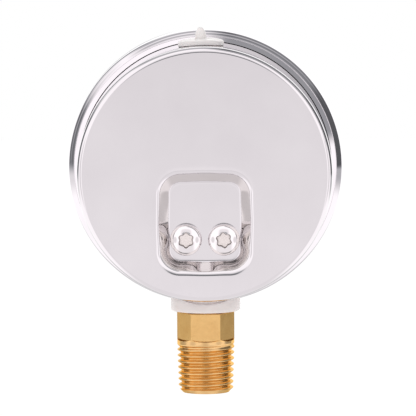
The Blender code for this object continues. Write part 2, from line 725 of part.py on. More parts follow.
def build_fill_plug(joint):
    """Soft plug: a flange bent over the case, a bullet nipple and a neck through the wall."""
    flange_top = CASE_RADIUS + PLUG_FLANGE_THICKNESS
    flange = rod(PLUG_FLANGE_RADIUS, flange_top + FIT_GAP, CASE_RADIUS / 2, "Z", steps=MEDIUM_STEPS)
    lean_plug(flange)
    over = rod(flange_top, 2 * PLUG_FLANGE_RADIUS, -2 * PLUG_FLANGE_RADIUS, steps=LARGE_STEPS)
    over.location.y = PLUG_FROM_STEM
    combine(flange, over, "INTERSECT")
    under = turned(case_outside(FIT_GAP) + [(0.0, RIM_Y - FIT_GAP)], steps=LARGE_STEPS)
    combine(flange, under, "DIFFERENCE")
    tip = flange_top + PLUG_NIPPLE_LENGTH
    shoulder = flange_top + PLUG_NIPPLE_STRAIGHT
    core = turned(
        dome(PLUG_NIPPLE_RADIUS, tip, shoulder)
        + [
            (PLUG_NIPPLE_RADIUS, CASE_RADIUS + PLUG_FLANGE_THICKNESS / 2),
            (PLUG_NECK_RADIUS, CASE_RADIUS + PLUG_FLANGE_THICKNESS / 2),
            (PLUG_NECK_RADIUS, CASE_RADIUS - PLUG_NECK_LENGTH),
            (0.0, CASE_RADIUS - PLUG_NECK_LENGTH),
        ],
        "Z",
        steps=MEDIUM_STEPS,
    )
    lean_plug(core)
    combine(flange, core, "UNION")
    return finish("fill_plug", flange, SILICONE, joint)


def dome(radius, top, edge):
    """Profile of a rounded top, from its middle down to its edge."""
    angles = [math.pi / 2 * i / DOME_STEPS for i in range(DOME_STEPS + 1)]
    return [(radius * math.sin(angle), edge + (top - edge) * math.cos(angle)) for angle in angles]


def star_outline(turn):
    """Six-lobed outline of a driver recess, turned from upright by an angle in degrees."""
    points = []
    for i in range(STAR_POINTS):
        angle = 360.0 * i / STAR_POINTS
        middle = CASE_SCREW_STAR_RADIUS - CASE_SCREW_STAR_WAVE
        wave = CASE_SCREW_STAR_WAVE * math.cos(math.radians(CASE_SCREW_STAR_LOBES * angle))
        points.append((middle + wave) * direction(90.0 + angle + turn))
    return points


def build_case_screws():
    """Domed screws with six-lobe recesses, and the seals under their heads."""
    seal_rear = FLOOR_Y + FIT_GAP + SEAL_THICKNESS
    head_base = seal_rear + FIT_GAP
    head_top = head_base + CASE_SCREW_HEAD_HEIGHT
    edge = head_base + CASE_SCREW_HEAD_EDGE
    screw_end = BLOCK_BACK - CASE_SCREW_LENGTH + FIT_GAP
    seal_bore = CASE_SCREW_SHANK_RADIUS + FIT_GAP
    for number, (place, turn) in enumerate(zip(CASE_SCREWS, CASE_SCREW_STAR_TURNS), start=1):
        screw = turned(
            dome(CASE_SCREW_HEAD_RADIUS, head_top, edge)
            + [
                (CASE_SCREW_HEAD_RADIUS, head_base),
                (CASE_SCREW_SHANK_RADIUS, head_base),
                (CASE_SCREW_SHANK_RADIUS, screw_end),
                (0.0, screw_end),
            ],
            place=place,
            steps=MEDIUM_STEPS,
        )
        recess_top = head_top + CASE_SCREW_STAR_DEPTH
        recess_floor = head_top - CASE_SCREW_STAR_DEPTH
        recess = plate([star_outline(turn)], recess_top, recess_floor, place)
        combine(screw, recess, "DIFFERENCE")
        finish(f"case_screw_{number}", screw, BRIGHT_STEEL)
        seal = [
            (seal_bore, seal_rear),
            (seal_bore + SEAL_WIDTH, seal_rear),
            (seal_bore + SEAL_WIDTH, seal_rear - SEAL_THICKNESS),
            (seal_bore, seal_rear - SEAL_THICKNESS),
        ]
        finish(f"screw_seal_{number}", turned(seal, place=place, steps=MEDIUM_STEPS, ring=True), RUBBER)


def build_bourdon_tube():
    """Hollow flattened tube, open at its foot and closed at its end."""
    outer = tube_rings(TUBE_END_ANGLE, TUBE_FOOT_ANGLE, TUBE_SECTIONS)
    inner_end = TUBE_END_ANGLE + math.degrees(2 * TUBE_WALL / TUBE_RADIUS)
    inner = tube_rings(TUBE_FOOT_ANGLE, inner_end, TUBE_SECTIONS, -TUBE_WALL)
    return finish("bourdon_tube", loft(outer + inner), BRONZE)


def build_tube_tip(joint):
    """End piece that takes the tube's end in a slot and carries the link's pin."""
    overlap = math.degrees(TIP_RADIUS / TUBE_RADIUS)
    start = TUBE_RADIUS * direction(TUBE_END_ANGLE + overlap)
    front = LINK_REAR + FIT_GAP
    rear = TUBE_Y + TUBE_WIDTH / 2 + FIT_GAP + TUBE_WALL
    tip = plate([capsule(start, TIP_PIVOT, TIP_RADIUS)], rear, front)
    slot_end = TUBE_END_ANGLE - math.degrees(FIT_GAP / TUBE_RADIUS)
    slot = loft(tube_rings(slot_end, TUBE_END_ANGLE + SLOT_STEPS * overlap, SLOT_STEPS, FIT_GAP))
    combine(tip, slot, "DIFFERENCE")
    pin_end = front + TIP_RADIUS
    hole = rod(PIN_RADIUS + FIT_GAP, pin_end + FIT_GAP, LINK_FRONT, place=TIP_PIVOT)
    combine(tip, hole, "DIFFERENCE")
    finish("tube_tip", tip, BRASS, joint)
    head_rear = LINK_FRONT - FIT_GAP
    finish("tip_pin", headed_pin(pin_end, head_rear, TIP_PIVOT), BRIGHT_STEEL, joint)


def headed_pin(rear, head_rear, place, radius=PIN_RADIUS, head=(PIN_HEAD_RADIUS, PIN_HEAD_HEIGHT)):
    """Pin or small screw whose head is at its front."""
    return turned(
        [
            (0.0, rear),
            (radius, rear),
            (radius, head_rear),
            (head[0], head_rear),
            (head[0], head_rear - head[1]),
            (0.0, head_rear - head[1]),
        ],
        place=place,
    )


def build_link(joint):
    """Bar from the sector's tail to the tube's end piece, with an eye at each end."""
    eye = PIN_RADIUS + FIT_GAP
    span = TIP_PIVOT - TAIL_PIVOT
    heading = math.degrees(math.atan2(span.y, span.x))
    waist = math.degrees(math.asin(LINK_WIDTH / 2 / TAIL_RADIUS))
    outline = arc((0.0, 0.0), TAIL_RADIUS, heading + waist, heading + 360.0 - waist, EYE_STEPS)
    outline += arc(span, TAIL_RADIUS, heading - 180.0 + waist, heading + 180.0 - waist, EYE_STEPS)
    holes = [circle(eye), circle(eye, span)]
    finish("link", plate([outline] + holes, LINK_REAR, LINK_FRONT, TAIL_PIVOT), STEEL, joint)


def tooth_points(teeth, centres):
    """Outline points of gear teeth at those angles, counter-clockwise, about the gear's centre."""
    pitch_radius = GEAR_MODULE * teeth / 2
    half_pitch = math.degrees(math.pi / teeth)
    flank = (TOOTH_ROOT, TOOTH_MIDDLE, TOOTH_CREST)
    points = []
    for centre in centres:
        for side, rows in ((-1, flank), (1, reversed(flank))):
            for height, share in rows:
                radius = pitch_radius + height * GEAR_MODULE
                points.append(radius * direction(centre + side * share * half_pitch))
    return points


def build_sector(joint):
    """Toothed sector with its tail, on an arbor between the plates."""
    tooth_angle = 360.0 / SECTOR_FULL_TEETH
    rest = -SECTOR_SWING / 2
    up = 90.0 + rest
    centres = [up + tooth_angle * (i - (SECTOR_TEETH - 1) / 2) for i in range(SECTOR_TEETH)]
    tail = TAIL_ANGLE + rest
    tail_end = TAIL_PIVOT - SECTOR_PIVOT
    outline = tooth_points(SECTOR_FULL_TEETH, centres)
    left = (up + SECTOR_NECK_ANGLE, tail + 360.0 - TAIL_NECK_ANGLE)
    right = (tail + TAIL_NECK_ANGLE, up - SECTOR_NECK_ANGLE)
    outline += arc((0.0, 0.0), SECTOR_HUB_RADIUS, *left, CORNER_STEPS)
    outline += arc(tail_end, TAIL_RADIUS, tail - 90.0, tail + 90.0, CORNER_STEPS)
    outline += arc((0.0, 0.0), SECTOR_HUB_RADIUS, *right, 1)
    holes = [circle(ARBOR_RADIUS + FIT_GAP), circle(PIN_RADIUS + FIT_GAP, tail_end)]
    gear = plate([outline] + holes, SECTOR_REAR, SECTOR_FRONT, SECTOR_PIVOT)
    finish("sector_gear", gear, BRASS, joint)
    arbor = rod(ARBOR_RADIUS, BACK_PLATE_REAR, FRONT_PLATE_FRONT, place=SECTOR_PIVOT)
    finish("sector_arbor", arbor, BRIGHT_STEEL, joint)
    pin = headed_pin(LINK_REAR, SECTOR_FRONT - FIT_GAP, TAIL_PIVOT)
    finish("link_pin", pin, BRIGHT_STEEL, joint)


def build_pinion_arbor(joint):
    """Pointer shaft with its pinion, which meets a gap of the sector's teeth at rest."""
    tooth_angle = 360.0 / SECTOR_FULL_TEETH
    half_swing = SECTOR_SWING / 2
    middle = 0.5 * ((SECTOR_TEETH + 1) % 2)
    past = (math.ceil(half_swing / tooth_angle + middle) - middle) * tooth_angle - half_swing
    gap_angle = 270.0 - past * SECTOR_FULL_TEETH / PINION_TEETH
    step = 360.0 / PINION_TEETH
    centres = [gap_angle + step * (i + 0.5) for i in range(PINION_TEETH)]
    pinion = plate([tooth_points(PINION_TEETH, centres)], LINK_FRONT, SPRING_REAR)
    shaft = rod(ARBOR_RADIUS, BACK_PLATE_REAR, POINTER_FRONT - HUB_ABOVE_POINTER / 2)
    combine(pinion, shaft, "UNION")
    finish("pinion_arbor", pinion, BRIGHT_STEEL, joint)


def build_plates():
    """Two movement plates with their bores, and bosses on the front one that carry the dial."""
    half = PLATE_HALF_WIDTH
    outline = rounded_rectangle(-half, half, PLATE_BOTTOM, PLATE_TOP, PLATE_CORNER, BEND_STEPS)
    bores = [circle(ARBOR_RADIUS + FIT_GAP), circle(ARBOR_RADIUS + FIT_GAP, SECTOR_PIVOT)]
    screw_hole = SMALL_SCREW_RADIUS + FIT_GAP
    pillar_holes = [circle(screw_hole + FIT_GAP, place) for place in PILLARS]
    block_holes = [circle(screw_hole, place) for place in MOVEMENT_SCREWS]
    back = plate([outline] + bores + pillar_holes + block_holes, BACK_PLATE_REAR, BACK_PLATE_FRONT)
    finish("movement_back_plate", back, BRASS)
    front_holes = [circle(screw_hole, place) for place in PILLARS]
    stud_hole = [circle(STUD_RADIUS + FIT_GAP, STUD_PLACE)]
    front = plate([outline] + bores + front_holes + stud_hole, FRONT_PLATE_REAR, FRONT_PLATE_FRONT)
    for place in DIAL_SCREWS:
        boss_root = FRONT_PLATE_FRONT + PLATE_THICKNESS / 2
        boss_face = FRONT_PLATE_FRONT - DIAL_STANDOFF
        combine(front, rod(screw_hole + BOSS_WALL, boss_root, boss_face, place=place), "UNION")
        combine(front, rod(screw_hole, SECTOR_FRONT, DIAL_REAR, place=place), "DIFFERENCE")
    finish("movement_front_plate", front, BRASS)


def build_pillars():
    """Pillars riveted in the back plate and screwed to the front plate."""
    body_rear = BACK_PLATE_FRONT - FIT_GAP
    body_front = FRONT_PLATE_REAR + FIT_GAP
    bore = SMALL_SCREW_RADIUS + FIT_GAP
    bore_end = body_front + PLATE_SCREW_DEPTH
    for number, place in enumerate(PILLARS, start=1):
        pillar = turned(
            [
                (0.0, BACK_PLATE_REAR),
                (bore, BACK_PLATE_REAR),
                (bore, body_rear),
                (PILLAR_RADIUS, body_rear),
                (PILLAR_RADIUS, body_front),
                (bore, body_front),
                (bore, bore_end),
                (0.0, bore_end),
            ],
            place=place,
        )
        finish(f"pillar_{number}", pillar, BRASS)
        head = (SMALL_SCREW_HEAD_RADIUS, SMALL_SCREW_HEAD_HEIGHT)
        screw = headed_pin(
            bore_end - FIT_GAP, FRONT_PLATE_FRONT - FIT_GAP, place, SMALL_SCREW_RADIUS, head
        )
        finish(f"plate_screw_{number}", screw, BRIGHT_STEEL)


def build_movement_screws():
    """Screws from the back plate into the block."""
    head = (SMALL_SCREW_HEAD_RADIUS, SMALL_SCREW_HEAD_HEIGHT)
    for number, place in enumerate(MOVEMENT_SCREWS, start=1):
        screw = headed_pin(
            BLOCK_FRONT + MOVEMENT_SCREW_DEPTH, BACK_PLATE_FRONT - FIT_GAP, place, SMALL_SCREW_RADIUS, head
        )
        finish(f"movement_screw_{number}", screw, BRIGHT_STEEL)


def build_hairspring(joint):
    """Flat spiral spring from its collet on the pointer shaft out to its stud, in one strip."""
    count = HAIRSPRING_TURNS * SPIRAL_STEPS
    turns = np.linspace(0.0, HAIRSPRING_TURNS, count + 1)
    radii = SPIRAL_START + HAIRSPRING_PITCH * turns
    angles = math.pi + math.tau * (turns - HAIRSPRING_TURNS)
    path = np.stack([radii * np.cos(angles), radii * np.sin(angles)], axis=1)
    spread = np.linalg.norm(path[:, None] - path[None], axis=2)
    apart = np.abs(turns[:, None] - turns[None]) > 0.5
    print("hairspring least gap to itself, mm:", round((spread[apart].min() - HAIRSPRING_STRIP) * 1000, 3))
    curve = bpy.data.curves.new("spiral", "CURVE")
    curve.dimensions = "2D"
    curve.fill_mode = "NONE"
    curve.extrude = HAIRSPRING_WIDTH / 2
    spline = curve.splines.new("POLY")
    spline.points.add(count)
    for point, (x, z) in zip(spline.points, path):
        point.co = (x, z, 0.0, 1.0)
    spiral = add_raw("spiral", curve)
    spiral.location = (0.0, (SPRING_REAR + SPRING_FRONT) / 2, AXIS_Z)
    spiral.rotation_euler = (math.pi / 2, 0.0, 0.0)
    strip = spiral.modifiers.new("strip", "SOLIDIFY")
    strip.thickness = HAIRSPRING_STRIP
    strip.offset = 0.0
    finish("hairspring", spiral, BRONZE)
    collet = [
        (ARBOR_RADIUS + FIT_GAP, SPRING_REAR),
        (COLLET_RADIUS, SPRING_REAR),
        (COLLET_RADIUS, SPRING_FRONT),
        (ARBOR_RADIUS + FIT_GAP, SPRING_FRONT),
    ]
    finish("hairspring_collet", turned(collet, ring=True), BRASS, joint)
    stud = rod(STUD_RADIUS, SPRING_REAR, FRONT_PLATE_FRONT, place=STUD_PLACE)
    finish("hairspring_stud", stud, BRASS)


def build_dial():
    """Dial plate on the front plate's bosses, its two screws and the pointer's stop pin."""
    screw_hole = SMALL_SCREW_RADIUS + FIT_GAP
    holes = [circle(DIAL_CENTRE_HOLE, steps=MEDIUM_STEPS), circle(PIN_RADIUS + FIT_GAP, STOP_PLACE)]
    holes += [circle(screw_hole, place) for place in DIAL_SCREWS]
    dial = plate([circle(DIAL_RADIUS, steps=LARGE_STEPS)] + holes, DIAL_REAR, DIAL_FRONT)
    finish("dial", dial, WHITE_ENAMEL)
    head = (SMALL_SCREW_HEAD_RADIUS, DIAL_SCREW_HEAD_HEIGHT)
    for number, place in enumerate(DIAL_SCREWS, start=1):
        screw = headed_pin(FRONT_PLATE_REAR, DIAL_FRONT - FIT_GAP, place, SMALL_SCREW_RADIUS, head)
        finish(f"dial_screw_{number}", screw, BRIGHT_STEEL)
    stop = turned(
        [
            (0.0, DIAL_REAR + FIT_GAP + PIN_HEAD_HEIGHT),
            (PIN_HEAD_RADIUS, DIAL_REAR + FIT_GAP + PIN_HEAD_HEIGHT),
            (PIN_HEAD_RADIUS, DIAL_REAR + FIT_GAP),
            (PIN_RADIUS, DIAL_REAR + FIT_GAP),
            (PIN_RADIUS, POINTER_FRONT - HUB_ABOVE_POINTER / 2),
            (0.0, POINTER_FRONT - HUB_ABOVE_POINTER / 2),
        ],
        place=STOP_PLACE,
    )
    finish("stop_pin", stop, BRASS)


def build_pointer(joint):
    """Needle with a balance tail, on a hub that is pressed on the pointer shaft."""
    eye = HUB_BOSS_RADIUS + FIT_GAP
    ahead = direction(POINTER_ZERO_ANGLE)
    aside = direction(POINTER_ZERO_ANGLE + 90.0)
    collar = eye + HUB_BOSS_WALL
    tip = ahead * POINTER_LENGTH
    outline = [tip - aside * POINTER_TIP_HALF_WIDTH, tip + aside * POINTER_TIP_HALF_WIDTH]
    roots = (POINTER_ZERO_ANGLE + NEEDLE_ROOT_ANGLE, POINTER_ZERO_ANGLE + BALANCE_ROOT_ANGLE)
    outline += arc((0.0, 0.0), collar, *roots, CORNER_STEPS)
    outline += [
        -ahead * POINTER_TAIL + aside * POINTER_TAIL_HALF_WIDTH,
        -ahead * POINTER_TAIL - aside * POINTER_TAIL_HALF_WIDTH,
    ]
    roots = (POINTER_ZERO_ANGLE - BALANCE_ROOT_ANGLE, POINTER_ZERO_ANGLE - NEEDLE_ROOT_ANGLE)
    outline += arc((0.0, 0.0), collar, *roots, CORNER_STEPS)
    needle = plate([outline, circle(eye)], POINTER_REAR, POINTER_FRONT)
    finish("pointer", needle, BLACK_ENAMEL, joint)
    flange_front = POINTER_REAR + FIT_GAP
    flange_rear = (DIAL_FRONT + flange_front) / 2
    hub = [
        (HUB_BORE, flange_rear),
        (HUB_FLANGE_RADIUS, flange_rear),
        (HUB_FLANGE_RADIUS, flange_front),
        (HUB_BOSS_RADIUS, flange_front),
        (HUB_BOSS_RADIUS, POINTER_FRONT - HUB_ABOVE_POINTER),
        (HUB_BORE, POINTER_FRONT - HUB_ABOVE_POINTER),
    ]
    finish("pointer_hub", turned(hub, steps=MEDIUM_STEPS, ring=True), BRASS, joint)


def build_window():
    """Flat window on its gasket."""
    gasket_inner = FLANGE_RADIUS - WINDOW_GASKET_WIDTH
    gasket_front = WINDOW_GASKET_REAR - WINDOW_GASKET_THICKNESS
    gasket = [
        (gasket_inner, WINDOW_GASKET_REAR),
        (FLANGE_RADIUS, WINDOW_GASKET_REAR),
        (FLANGE_RADIUS, gasket_front),
        (gasket_inner, gasket_front),
    ]
    finish("window_gasket", turned(gasket, steps=LARGE_STEPS, ring=True), RUBBER)
    window = rod(FLANGE_RADIUS, WINDOW_REAR, WINDOW_FRONT, steps=LARGE_STEPS)
    finish("window", window, GLASS)


def build_bezel():
    """Ring folded over the window in front and crimped behind the case's flange."""
    inner = FLANGE_RADIUS + FIT_GAP
    outer = inner + BEZEL_WALL
    lip_rear = WINDOW_FRONT - FIT_GAP
    lip_front = lip_rear - BEZEL_WALL
    hook = [BEZEL_HOOK + (1.0 - BEZEL_HOOK) * i / HOOK_STEPS for i in range(HOOK_STEPS + 1)]
    outside = [shoulder_point(t, FIT_GAP + BEZEL_WALL) for t in hook]
    round_centre = (outer - BEZEL_FRONT_ROUND, lip_front + BEZEL_FRONT_ROUND)
    front = [tuple(point) for point in arc(round_centre, BEZEL_FRONT_ROUND, 0.0, -90.0, HOOK_STEPS)]
    lip = [(BEZEL_OPENING_RADIUS, lip_front), (BEZEL_OPENING_RADIUS, lip_rear), (inner, lip_rear)]
    inside = [shoulder_point(t, FIT_GAP) for t in reversed(hook)]
    bezel = turned(outside + front + lip + inside, steps=LARGE_STEPS, ring=True)
    finish("bezel", bezel, BRIGHT_STEEL)


def build_gauge():
    """All the pieces, with an empty on the axis of each joint."""
    pointer_axis = joint_axis("pointer_axis", Vector((0.0, 0.0)))
    sector_axis = joint_axis("sector_axis", SECTOR_PIVOT)
    tip_axis = joint_axis("tip_axis", TIP_AXIS)
    link_axis = joint_axis("link_axis", TAIL_PIVOT)
    plug_axis = joint_axis("plug_axis", Vector((0.0, 0.0)), PLUG_FROM_STEM)
    build_socket()
    build_restrictor()
    build_case()
    build_stem_gasket()
    build_fill_plug(plug_axis)
    build_case_screws()
    build_bourdon_tube()
    build_tube_tip(tip_axis)
    build_link(link_axis)
    build_sector(sector_axis)
    build_pinion_arbor(pointer_axis)
    build_plates()
    build_pillars()
    build_movement_screws()
    build_hairspring(pointer_axis)
    build_dial()
    build_pointer(pointer_axis)
    build_window()
    build_bezel()


for leftover in list(bpy.data.objects):
    bpy.data.objects.remove(leftover)
PARTS = new_collection("pressure_gauge")
CONSTRUCTION = new_collection("construction")
STEEL = new_material("stainless_steel", (0.72, 0.70, 0.71), 0.18, 1.0)
BRIGHT_STEEL = new_material("polished_steel", (0.80, 0.79, 0.80), 0.10, 1.0)
BRASS = new_material("brass", (0.80, 0.55, 0.24), 0.28, 1.0)
BRONZE = new_material("bronze", (0.62, 0.40, 0.22), 0.32, 1.0)
POLYMER = new_material("white_polymer", (0.76, 0.70, 0.72), 0.45, 0.0)
SILICONE = new_material("milky_silicone", (0.80, 0.77, 0.76), 0.40, 0.0)
RUBBER = new_material("black_rubber", (0.03, 0.03, 0.03), 0.70, 0.0)
GLASS = new_material("clear_window", (0.90, 0.92, 0.93), 0.05, 0.0)
WHITE_ENAMEL = new_material("white_enamel", (0.86, 0.86, 0.84), 0.45, 0.0)
BLACK_ENAMEL = new_material("black_enamel", (0.02, 0.02, 0.02), 0.40, 0.0)
build_gauge()
bpy.data.collections.remove(CONSTRUCTION)
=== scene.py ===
"""Dressed scene of the pressure gauge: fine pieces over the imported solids, finishes, studio and camera.

Metres and degrees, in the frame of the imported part: +Z up along the stem, the dial faces -Y, the back +Y.
"""
import math

import bmesh
import bpy
import numpy as np
from mathutils import Matrix, Vector


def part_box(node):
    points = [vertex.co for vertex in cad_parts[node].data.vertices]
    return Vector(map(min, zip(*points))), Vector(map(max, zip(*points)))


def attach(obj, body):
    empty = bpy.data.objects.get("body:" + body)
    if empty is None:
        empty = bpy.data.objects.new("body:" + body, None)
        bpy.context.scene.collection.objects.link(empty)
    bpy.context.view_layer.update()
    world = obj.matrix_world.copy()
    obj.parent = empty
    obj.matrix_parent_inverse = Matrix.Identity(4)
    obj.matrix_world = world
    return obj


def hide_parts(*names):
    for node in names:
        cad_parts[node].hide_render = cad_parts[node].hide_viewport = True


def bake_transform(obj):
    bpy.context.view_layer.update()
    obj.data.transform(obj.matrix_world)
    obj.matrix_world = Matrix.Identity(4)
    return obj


# Meshes
TINY = 1e-9
WELD = 1e-7
STEM_WELD = 2e-7
NEEDLE_WELD = 1e-6
CORNER_STEPS = 5
TURNED_STEPS = 256
POST_COLUMNS = 64
CRISP_EDGE = 32.0
STEM_CRISP_EDGE = 26.0
SOFT_EDGE = 40.0
TUBE_CRISP_EDGE = 50.0

# Stem
THREAD_LENGTH = 0.0119
THREAD_PITCH = 0.001411
THREAD_DEPTH = 0.00080
THREAD_START = 0.25
THREAD_END_RADIUS = 0.00654
THREAD_TAPER = 0.03125
THREAD_LEAD = 0.0010
THREAD_END_LEVELS = 4
HEX_SIDES = 6
HEX_HALF_FLATS = 0.0060
HEX_CORNER_ANGLE = 29.0
HEX_BOTTOM = 0.0126
HEX_RAMP = 0.0001
HEX_RAMP_ROWS = 40
HEX_FLAT_CURVE = 0.0005
HEX_FLAT_POWER = 4
HEX_TOP = 0.01935
HEX_TOP_CHAMFER = 0.0002
HEX_TOP_LEVELS = 6
STEM_RADIUS = HEX_HALF_FLATS / math.cos(math.radians(HEX_CORNER_ANGLE))
NECK_RADIUS = 0.0042
NECK_IN_BLOCK = 0.75
PORT_RADIUS = 0.0021
PORT_EYE = PORT_RADIUS / 50
PORT_CHAMFER = 0.0002
PORT_DEPTH = 0.0125
STEM_COLUMNS = 360
ROWS_PER_PITCH = 16

# Block inside the case
BLOCK_HALF_WIDTH = 0.0090
BLOCK_TOP = 0.0095
BLOCK_HEIGHT = 0.0140
BLOCK_BACK = 0.0076
BLOCK_FRONT = -0.0045
BLOCK_BEVEL = 0.0005
BEVEL_STEPS = 2

# Case
AXIS_Z = 0.05325
BACK_Y = 0.0130
CASE_RADIUS = 0.0304
CASE_WALL = 0.0008
BACK_EDGE = 0.0012
BACK_CREASE = 15.0
BACK_EDGE_STEPS = 12
BACK_RING_SHARES = (0.04, 0.12, 0.3, 0.5, 0.7, 0.88, 0.96, 0.995)
SHELL_RING_SHARES = (0.03, 0.25, 0.5, 0.75, 0.97)
SHOULDER_REAR = -0.0092
SHOULDER_LENGTH = 0.0024
SHOULDER_RINGS = 15
FLANGE_RADIUS = 0.03195
RIM_Y = -0.0150
STEM_HOLE_RADIUS = 0.0058
HOLE_FIT = 0.0003
CASE_COLUMNS = 320

# Pocket in the back
POCKET_HALF_WIDTH = 0.0117
POCKET_HALF_HEIGHT = 0.01265
POCKET_MIDDLE = -0.01145
POCKET_CORNER = 0.0058
POCKET_FLOOR_CORNER = 0.0026
POCKET_INSET = 0.00335
POCKET_DEPTH = 0.0043
POCKET_RIM_ROUND = 0.0011
POCKET_SILL_ROUND = 0.0016
POCKET_SILL_SPREAD = 1.2
POCKET_FLOOR_ROUND = 0.0005
POCKET_WALL_ANGLE = 60.0
POCKET_BOW = 0.00012
POCKET_WAVE = 0.00018
POCKET_WAVES = 4
POCKET_RIM_RINGS = 16
POCKET_WALL_SHARES = (0.15, 0.5, 0.85)
POCKET_FOOT_RINGS = 8
POCKET_FLOOR_SHARES = (0.02, 0.3, 0.6, 0.85, 0.96)

# Screws in the pocket
SCREW_SPACING = 0.0090
SCREW_DROP = 0.0157
SCREW_HEAD_RADIUS = 0.0038
SCREW_HEAD_HEIGHT = 0.0020
SCREW_HEAD_EDGE = 0.0001
SCREW_HEAD_BASE = 0.0098
SCREW_DOME_RINGS = 15
SCREW_DOME_ROUNDING = 3
SCREW_DOME_START = math.pi / 6
SCREW_DOME_SWEEP = math.pi / 3
SCREW_STAR_RADIUS = 0.0019
SCREW_STAR_WAVE = 0.00017
SCREW_STAR_POINT = 1.3
SCREW_STAR_DEPTH = 0.0011
SCREW_STAR_LOBES = 6
SCREW_STAR_EDGE = 0.00012
SCREW_STAR_DRAFT = 0.00022
SCREW_STAR_RINGS = 7
SCREW_STAR_SIDE = 0.6
SCREW_FLOOR_SHARES = (0.02, 0.4, 0.8)
SCREW_TURNS = (0.0, 9.0)
SCREW_SHANK_RADIUS = 0.0019
SCREW_SHANK_STRAIGHT = 0.96
SCREW_SHANK_TIP = 0.85
SCREW_SKIRT_BORE = 0.0034
SCREW_SKIRT_STRAIGHT = 0.9
SCREW_SKIRT_TIP = 0.985
SCREW_END = 0.0013
SCREW_COLUMNS = 144

# Plug and stem gasket
PLUG_LEAN = 1.5
PLUG_Y = 0.0022
PLUG_FLANGE_RADIUS = 0.0055
PLUG_FLANGE_THICKNESS = 0.0013
PLUG_SEAT_MIDDLE = 0.0042
PLUG_TOP_RADII = (0.0044, 0.0034, 0.0025, 0.0020)
PLUG_EDGE_ROUND = 0.0004
PLUG_EDGE_RINGS = 7
PLUG_FILLET = 0.00025
PLUG_FILLET_RINGS = 6
PLUG_NIPPLE_RADIUS = 0.00135
PLUG_NIPPLE_LENGTH = 0.00285
PLUG_NIPPLE_STRAIGHT = 0.0002
PLUG_NIPPLE_END = 0.98
PLUG_NIPPLE_RINGS = 12
PLUG_NECK_RADIUS = 0.0031
PLUG_NECK_LENGTH = 0.0040
PLUG_NECK_EYE = 0.02
PLUG_NECK_TIP = 0.85
PLUG_NECK_STRAIGHT = 0.9
PLUG_COLUMNS = 96
GASKET_RADIUS = 0.0083
GASKET_BOTTOM = 0.01965
GASKET_EDGE_ROUND = 0.0006
GASKET_EDGE_STEPS = 7
GASKET_LIP_RINGS = 5
GASKET_SADDLE = 0.0165
GASKET_SHOULDER = 0.0076
GASKET_BORE = 0.0045
GASKET_COLUMNS = 160
SEAT_GAP = 0.00005

# Bezel and window
BEZEL_WALL = 0.0008
BEZEL_FIT = 0.0003
BEZEL_OPENING = 0.0276
BEZEL_FRONT_ROUND = 0.0018
BEZEL_LIP_ROUNDS = (0.00036, 0.00024)
BEZEL_FACE_STEPS = 12
BEZEL_HOOK = 0.42
BEZEL_HOOK_POINTS = 13
BEZEL_UNDER_POINTS = 8
BEZEL_CRIMP = 0.3
BEZEL_SKIRT_SLOPE = 51.0
BEZEL_NOSE_STEP = 0.00007
BEZEL_NOSE_ROUND = 0.8 * BEZEL_NOSE_STEP
BEZEL_FOOT_GAP = 0.00012
BEZEL_LIP_REAR = -0.0191
WINDOW_REAR = -0.0166
WINDOW_FRONT = -0.0188
WINDOW_EDGE_ROUND = 0.0003
WINDOW_EYE = 0.0001

# Dial print: a row of ticks is (divisions, radius, length, width)
DIAL_FRONT = -0.0131
PRINT_THICKNESS = 0.00003
POINTER_ZERO = 225.0
POINTER_TRAVEL = 270.0
TICK_ROWS = {"long_ticks": (10, 0.0236, 0.0036, 0.00055), "short_ticks": (50, 0.0244, 0.0020, 0.00026)}
SCALE_ARC_RADII = (0.0252, 0.0255)
SCALE_ARC_POINTS = 181
SCALE_END = 10
NUMBER_STEP = 2
NUMBER_RADIUS = 0.0187
NUMBER_SIZE = 0.0050
UNIT_WORD = "bar"
UNIT_SIZE = 0.0040
UNIT_DROP = 0.0115
LETTER_STEPS = 4

# Pointer
NEEDLE_BEVEL = 0.00008
NEEDLE_FLAT_ANGLE = 1.0
HUB_BORE = 0.0009
HUB_BOSS = 0.0015
HUB_STEP_Y = -0.0141
HUB_FLANGE_EDGE = 0.00015
HUB_BOSS_EDGE = 0.0003
HUB_STEPS = 64

# Tube inside the case
TUBE_RADIUS = 0.0210
TUBE_THICKNESS = 0.0030
TUBE_WIDTH = 0.0080
TUBE_FLATNESS = (0.75, 0.5)
TUBE_Y = 0.00155
TUBE_FOOT = 252.0
TUBE_END = -30.0
TUBE_SECTIONS = 96
TUBE_FACETS = 28

# Finishes. Clouds of tone are (number per metre, spread), and marks are (hairlines, hazes) per metre.
# Steel: light and dark tone, clouds per metre, smoothest and roughest, stretch of the hairlines
EVEN = (1.0, 1.0, 1.0)
SHELL_GRAIN = (1.0, 1.0, 0.25)
WALL_GRAIN = (1.0, 0.12, 1.0)
STEELS = {
    "polished_case_steel": ((0.772, 0.752, 0.766), (0.732, 0.710, 0.726), 70.0, (0.03, 0.08), SHELL_GRAIN),
    "polished_bezel_steel": ((0.80, 0.775, 0.795), (0.74, 0.715, 0.74), 90.0, (0.03, 0.07), EVEN),
    "plated_screw_steel": ((0.86, 0.83, 0.835), (0.80, 0.77, 0.78), 220.0, (0.04, 0.10), EVEN),
    # painted shade: the screws' recess sides are dark steel that stands in for the shade inside the recess
    "broached_recess_steel": ((0.30, 0.27, 0.26), (0.20, 0.18, 0.18), 900.0, (0.35, 0.55), EVEN),
    "pressed_steel": ((0.80, 0.775, 0.755), (0.76, 0.735, 0.715), 220.0, (0.04, 0.10), WALL_GRAIN),
    # lighter, pinker steel than the head's, on the floors of the screws' recesses
    "coined_recess_steel": ((0.95, 0.885, 0.855), (0.90, 0.835, 0.805), 420.0, (0.25, 0.40), EVEN),
    "drawn_steel": ((0.62, 0.61, 0.62), (0.52, 0.51, 0.53), 300.0, (0.18, 0.32), EVEN),
}
STEEL_SPREAD = 0.25
STEEL_MARKS = (900.0, 90.0)
STEEL_RELIEF = 0.0000002
